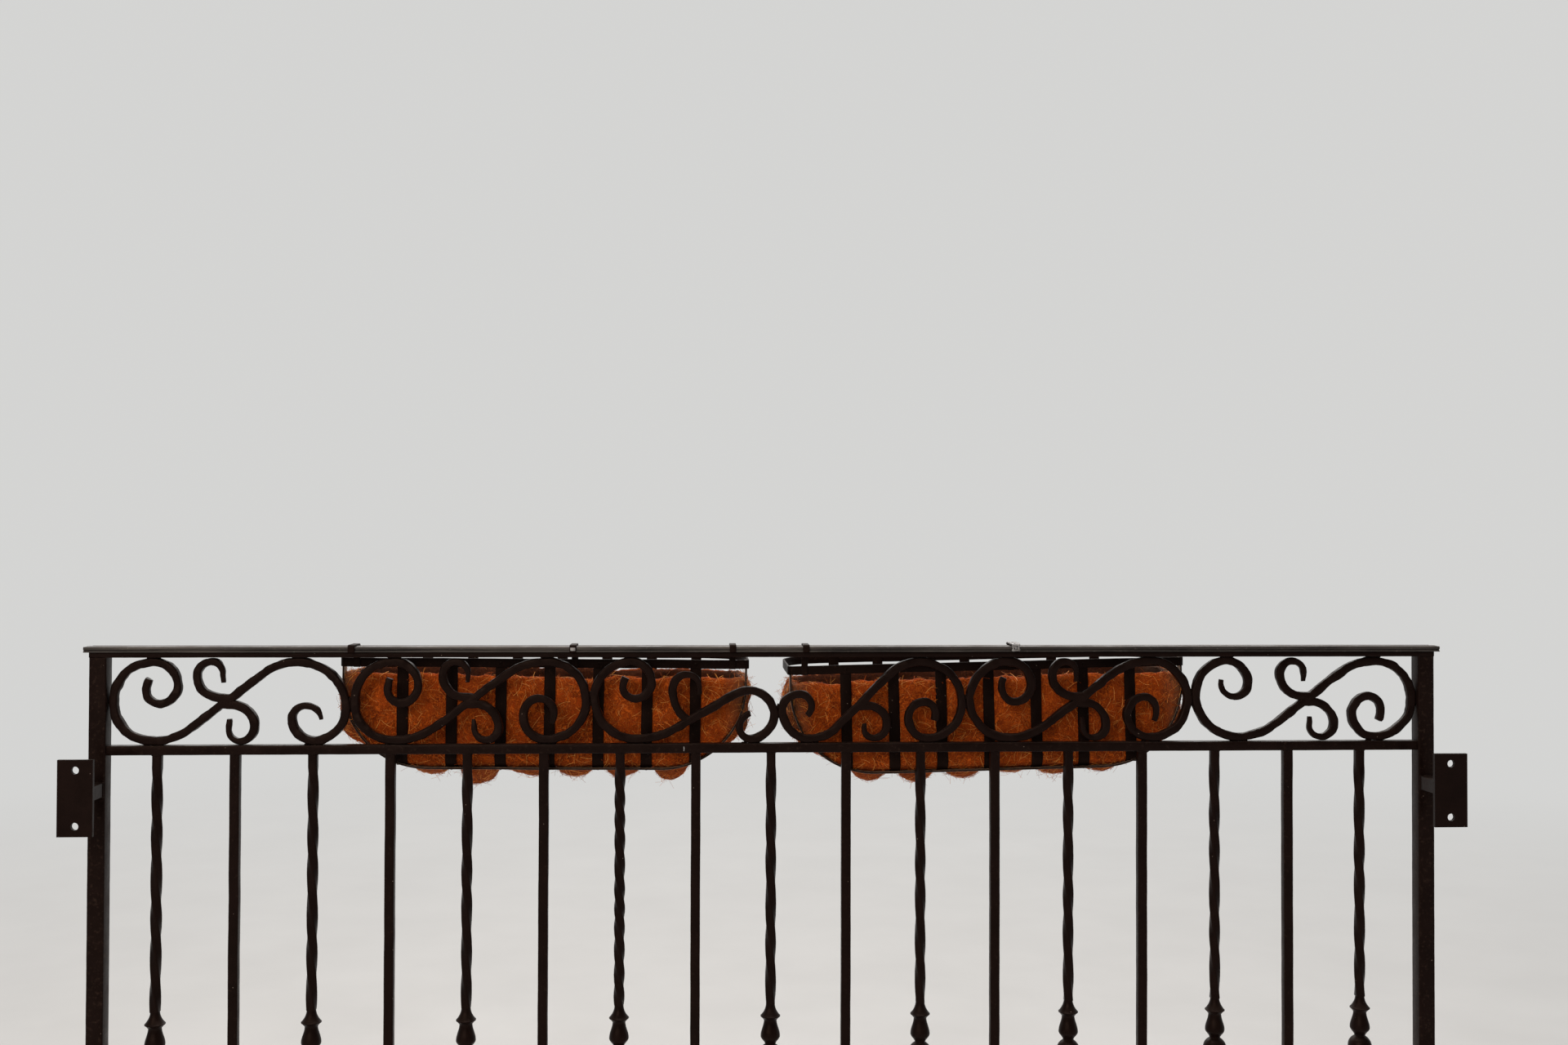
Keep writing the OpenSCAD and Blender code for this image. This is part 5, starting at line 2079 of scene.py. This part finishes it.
@dataclass
class Studio:
    """Camera at the photograph's place, a pale floor and soft lights."""

    camera_at: tuple[float, float, float] = (890.5, -2232.1, 1132.8)
    yaw: float = 3.12
    pitch: float = 0.9
    roll: float = 0.17
    lens: float = 35.0
    sensor: float = 36.0
    view_end: float = 300.0
    floor_half: float = 60.0
    floor_gap: float = 0.004
    floor_middle: tuple[float, float, float] = (1.0, 0.1, 0.0)
    fade_from: float = 1.6
    fade_to: float = 7.0
    backdrop: Rgb = (0.66, 0.66, 0.65)
    panels: tuple[Panel, ...] = (
        Panel("sky_panel", (1.0, 6.5, 5.2), (1.0, 0.1, 0.7), (8.0, 4.0), 300.0, (1.0, 0.98, 0.95)),
        Panel("top_panel", (1.0, 0.0, 3.8), (1.0, 0.1, 0.9), (3.6, 1.6), 75.0, (1.0, 0.98, 0.96)),
        Panel("room_panel", (-0.8, -3.6, 2.6), (1.0, 0.1, 0.8), (3.2, 2.2), 80.0, (1.0, 0.87, 0.74)))

    def build(self) -> None:
        """Sets up the view, the floor, the lights and the surroundings."""
        self.camera()
        self.floor()
        for panel in self.panels:
            self.light(panel)
        self.surroundings()
        scene = bpy.context.scene
        scene.view_settings.view_transform = "Standard"
        scene.view_settings.look = "None"

    def camera(self) -> None:
        """The camera, at the viewing angle of the photograph."""
        data = bpy.data.cameras.new("view")
        data.lens, data.sensor_width = self.lens, self.sensor
        data.clip_end = self.view_end
        camera = bpy.data.objects.new("view", data)
        turn = (Matrix.Rotation(math.radians(-self.yaw), 4, "Z")
                @ Matrix.Rotation(math.radians(90.0 + self.pitch), 4, "X")
                @ Matrix.Rotation(math.radians(self.roll), 4, "Z"))
        camera.matrix_world = Matrix.Translation([c * MM for c in self.camera_at]) @ turn
        bpy.context.scene.collection.objects.link(camera)
        bpy.context.scene.camera = camera

    def floor(self) -> None:
        """A wide pale floor just under the railing's foot."""
        low, half = CAD_BOUNDS[0][2] - self.floor_gap, self.floor_half
        mesh = bpy.data.meshes.new("studio_floor")
        mesh.from_pydata([(-half, -half, low), (half, -half, low), (half, half, low),
                          (-half, half, low)], [], [(0, 1, 2, 3)])
        floor = new_object("studio_floor", mesh)
        material, tree, shader = new_material("studio_floor")
        place = put(tree, "ShaderNodeTexCoord").outputs["Object"]
        shade = ranged(tree, cloud(tree, place, 3.0).outputs[0], 0.3, 0.7, 0.0, 1.0)
        tree.links.new(blended(tree, shade, (0.62, 0.61, 0.60), (0.66, 0.65, 0.64)),
                       shader.inputs["Base Color"])
        shader.inputs["Roughness"].default_value = 0.9
        flat = vector_maths(tree, "MULTIPLY",
                            vector_maths(tree, "SUBTRACT", place, self.floor_middle), (1.0, 1.0, 0.0))
        away = ranged(tree, vector_maths(tree, "LENGTH", flat), self.fade_from, self.fade_to)
        away = maths(tree, "SMOOTH_MIN", product(tree, away, 1.1), 1.0, 0.15)
        far = put(tree, "ShaderNodeEmission", {"Color": (*self.backdrop, 1.0), "Strength": 1.0})
        both = put(tree, "ShaderNodeMixShader", {0: away, 1: shader.outputs[0], 2: far.outputs[0]})
        tree.links.new(both.outputs[0], tree.nodes["Material Output"].inputs["Surface"])
        mesh.materials.append(material)

    def light(self, panel: Panel) -> None:
        """Puts up one of the lights, unseen by the camera.

        Args:
            panel: The light.
        """
        data = bpy.data.lights.new(panel.name, "AREA")
        data.shape = "RECTANGLE"
        data.size, data.size_y = panel.size
        data.energy, data.color = panel.power, panel.colour
        lamp = bpy.data.objects.new(panel.name, data)
        lamp.location = panel.at
        lamp.rotation_mode = "QUATERNION"
        facing = Vector(panel.towards) - Vector(panel.at)
        lamp.rotation_quaternion = facing.to_track_quat("-Z", "Y")
        lamp.visible_camera = False
        bpy.context.scene.collection.objects.link(lamp)

    def surroundings(self) -> None:
        """A plain pale surround that is dimmer on the camera's side."""
        world = bpy.data.worlds.new("surround")
        world.use_nodes = True
        bpy.context.scene.world = world
        tree = world.node_tree
        tree.nodes.clear()
        direction = put(tree, "ShaderNodeTexCoord").outputs["Generated"]
        away = put(tree, "ShaderNodeSeparateXYZ", {0: direction}).outputs[1]
        glow = ranged(tree, away, -0.6, 0.7, 0.12, 0.66)
        lit = put(tree, "ShaderNodeBackground", {"Color": (1.0, 0.985, 0.96, 1.0), "Strength": glow})
        seen = put(tree, "ShaderNodeBackground", {"Color": (*self.backdrop, 1.0), "Strength": 1.0})
        ray = put(tree, "ShaderNodeLightPath").outputs["Is Camera Ray"]
        both = put(tree, "ShaderNodeMixShader", {0: ray, 1: lit.outputs[0], 2: seen.outputs[0]})
        put(tree, "ShaderNodeOutputWorld", {"Surface": both.outputs[0]})


def main() -> None:
    """Builds the object's looks piece by piece, then the studio around it."""
    logging.basicConfig(level=logging.INFO, format="%(message)s")
    shop = Workshop()
    Railing(shop).build()
    Balusters(shop).build()
    Frieze(shop).build()
    left = Basket(shop, Side.LEFT, middle_x=655.5, rim_top=960.0, lean=0.45,
                  hooks=(-284.0, 44.0, 284.0), drops=(6.0, 15.0, 28.0, 17.0, 18.0, 17.0, 19.0, 6.0),
                  slumps=(3.5, 10.0, 9.0), end_bulges=(22.0, 20.0), strap_shift=6.0, seed=1)
    right = Basket(shop, Side.RIGHT, middle_x=1334.5, rim_top=955.0, lean=-1.3,
                   hooks=(-284.0, 36.0), drops=(6.0, 15.0, 21.0, 18.0, 13.0, 16.0, 14.0, 6.0),
                   slumps=(10.0, 4.0, 3.0), end_bulges=(12.0, 14.0), strap_shift=1.5, seed=2)
    left.build()
    right.build()
    Clip(shop, left.middle_x + left.hooks[1], crumpled=False).build()
    Clip(shop, right.middle_x + right.hooks[1], crumpled=True).build()
    Studio().build()


if __name__ == "__main__":
    main()
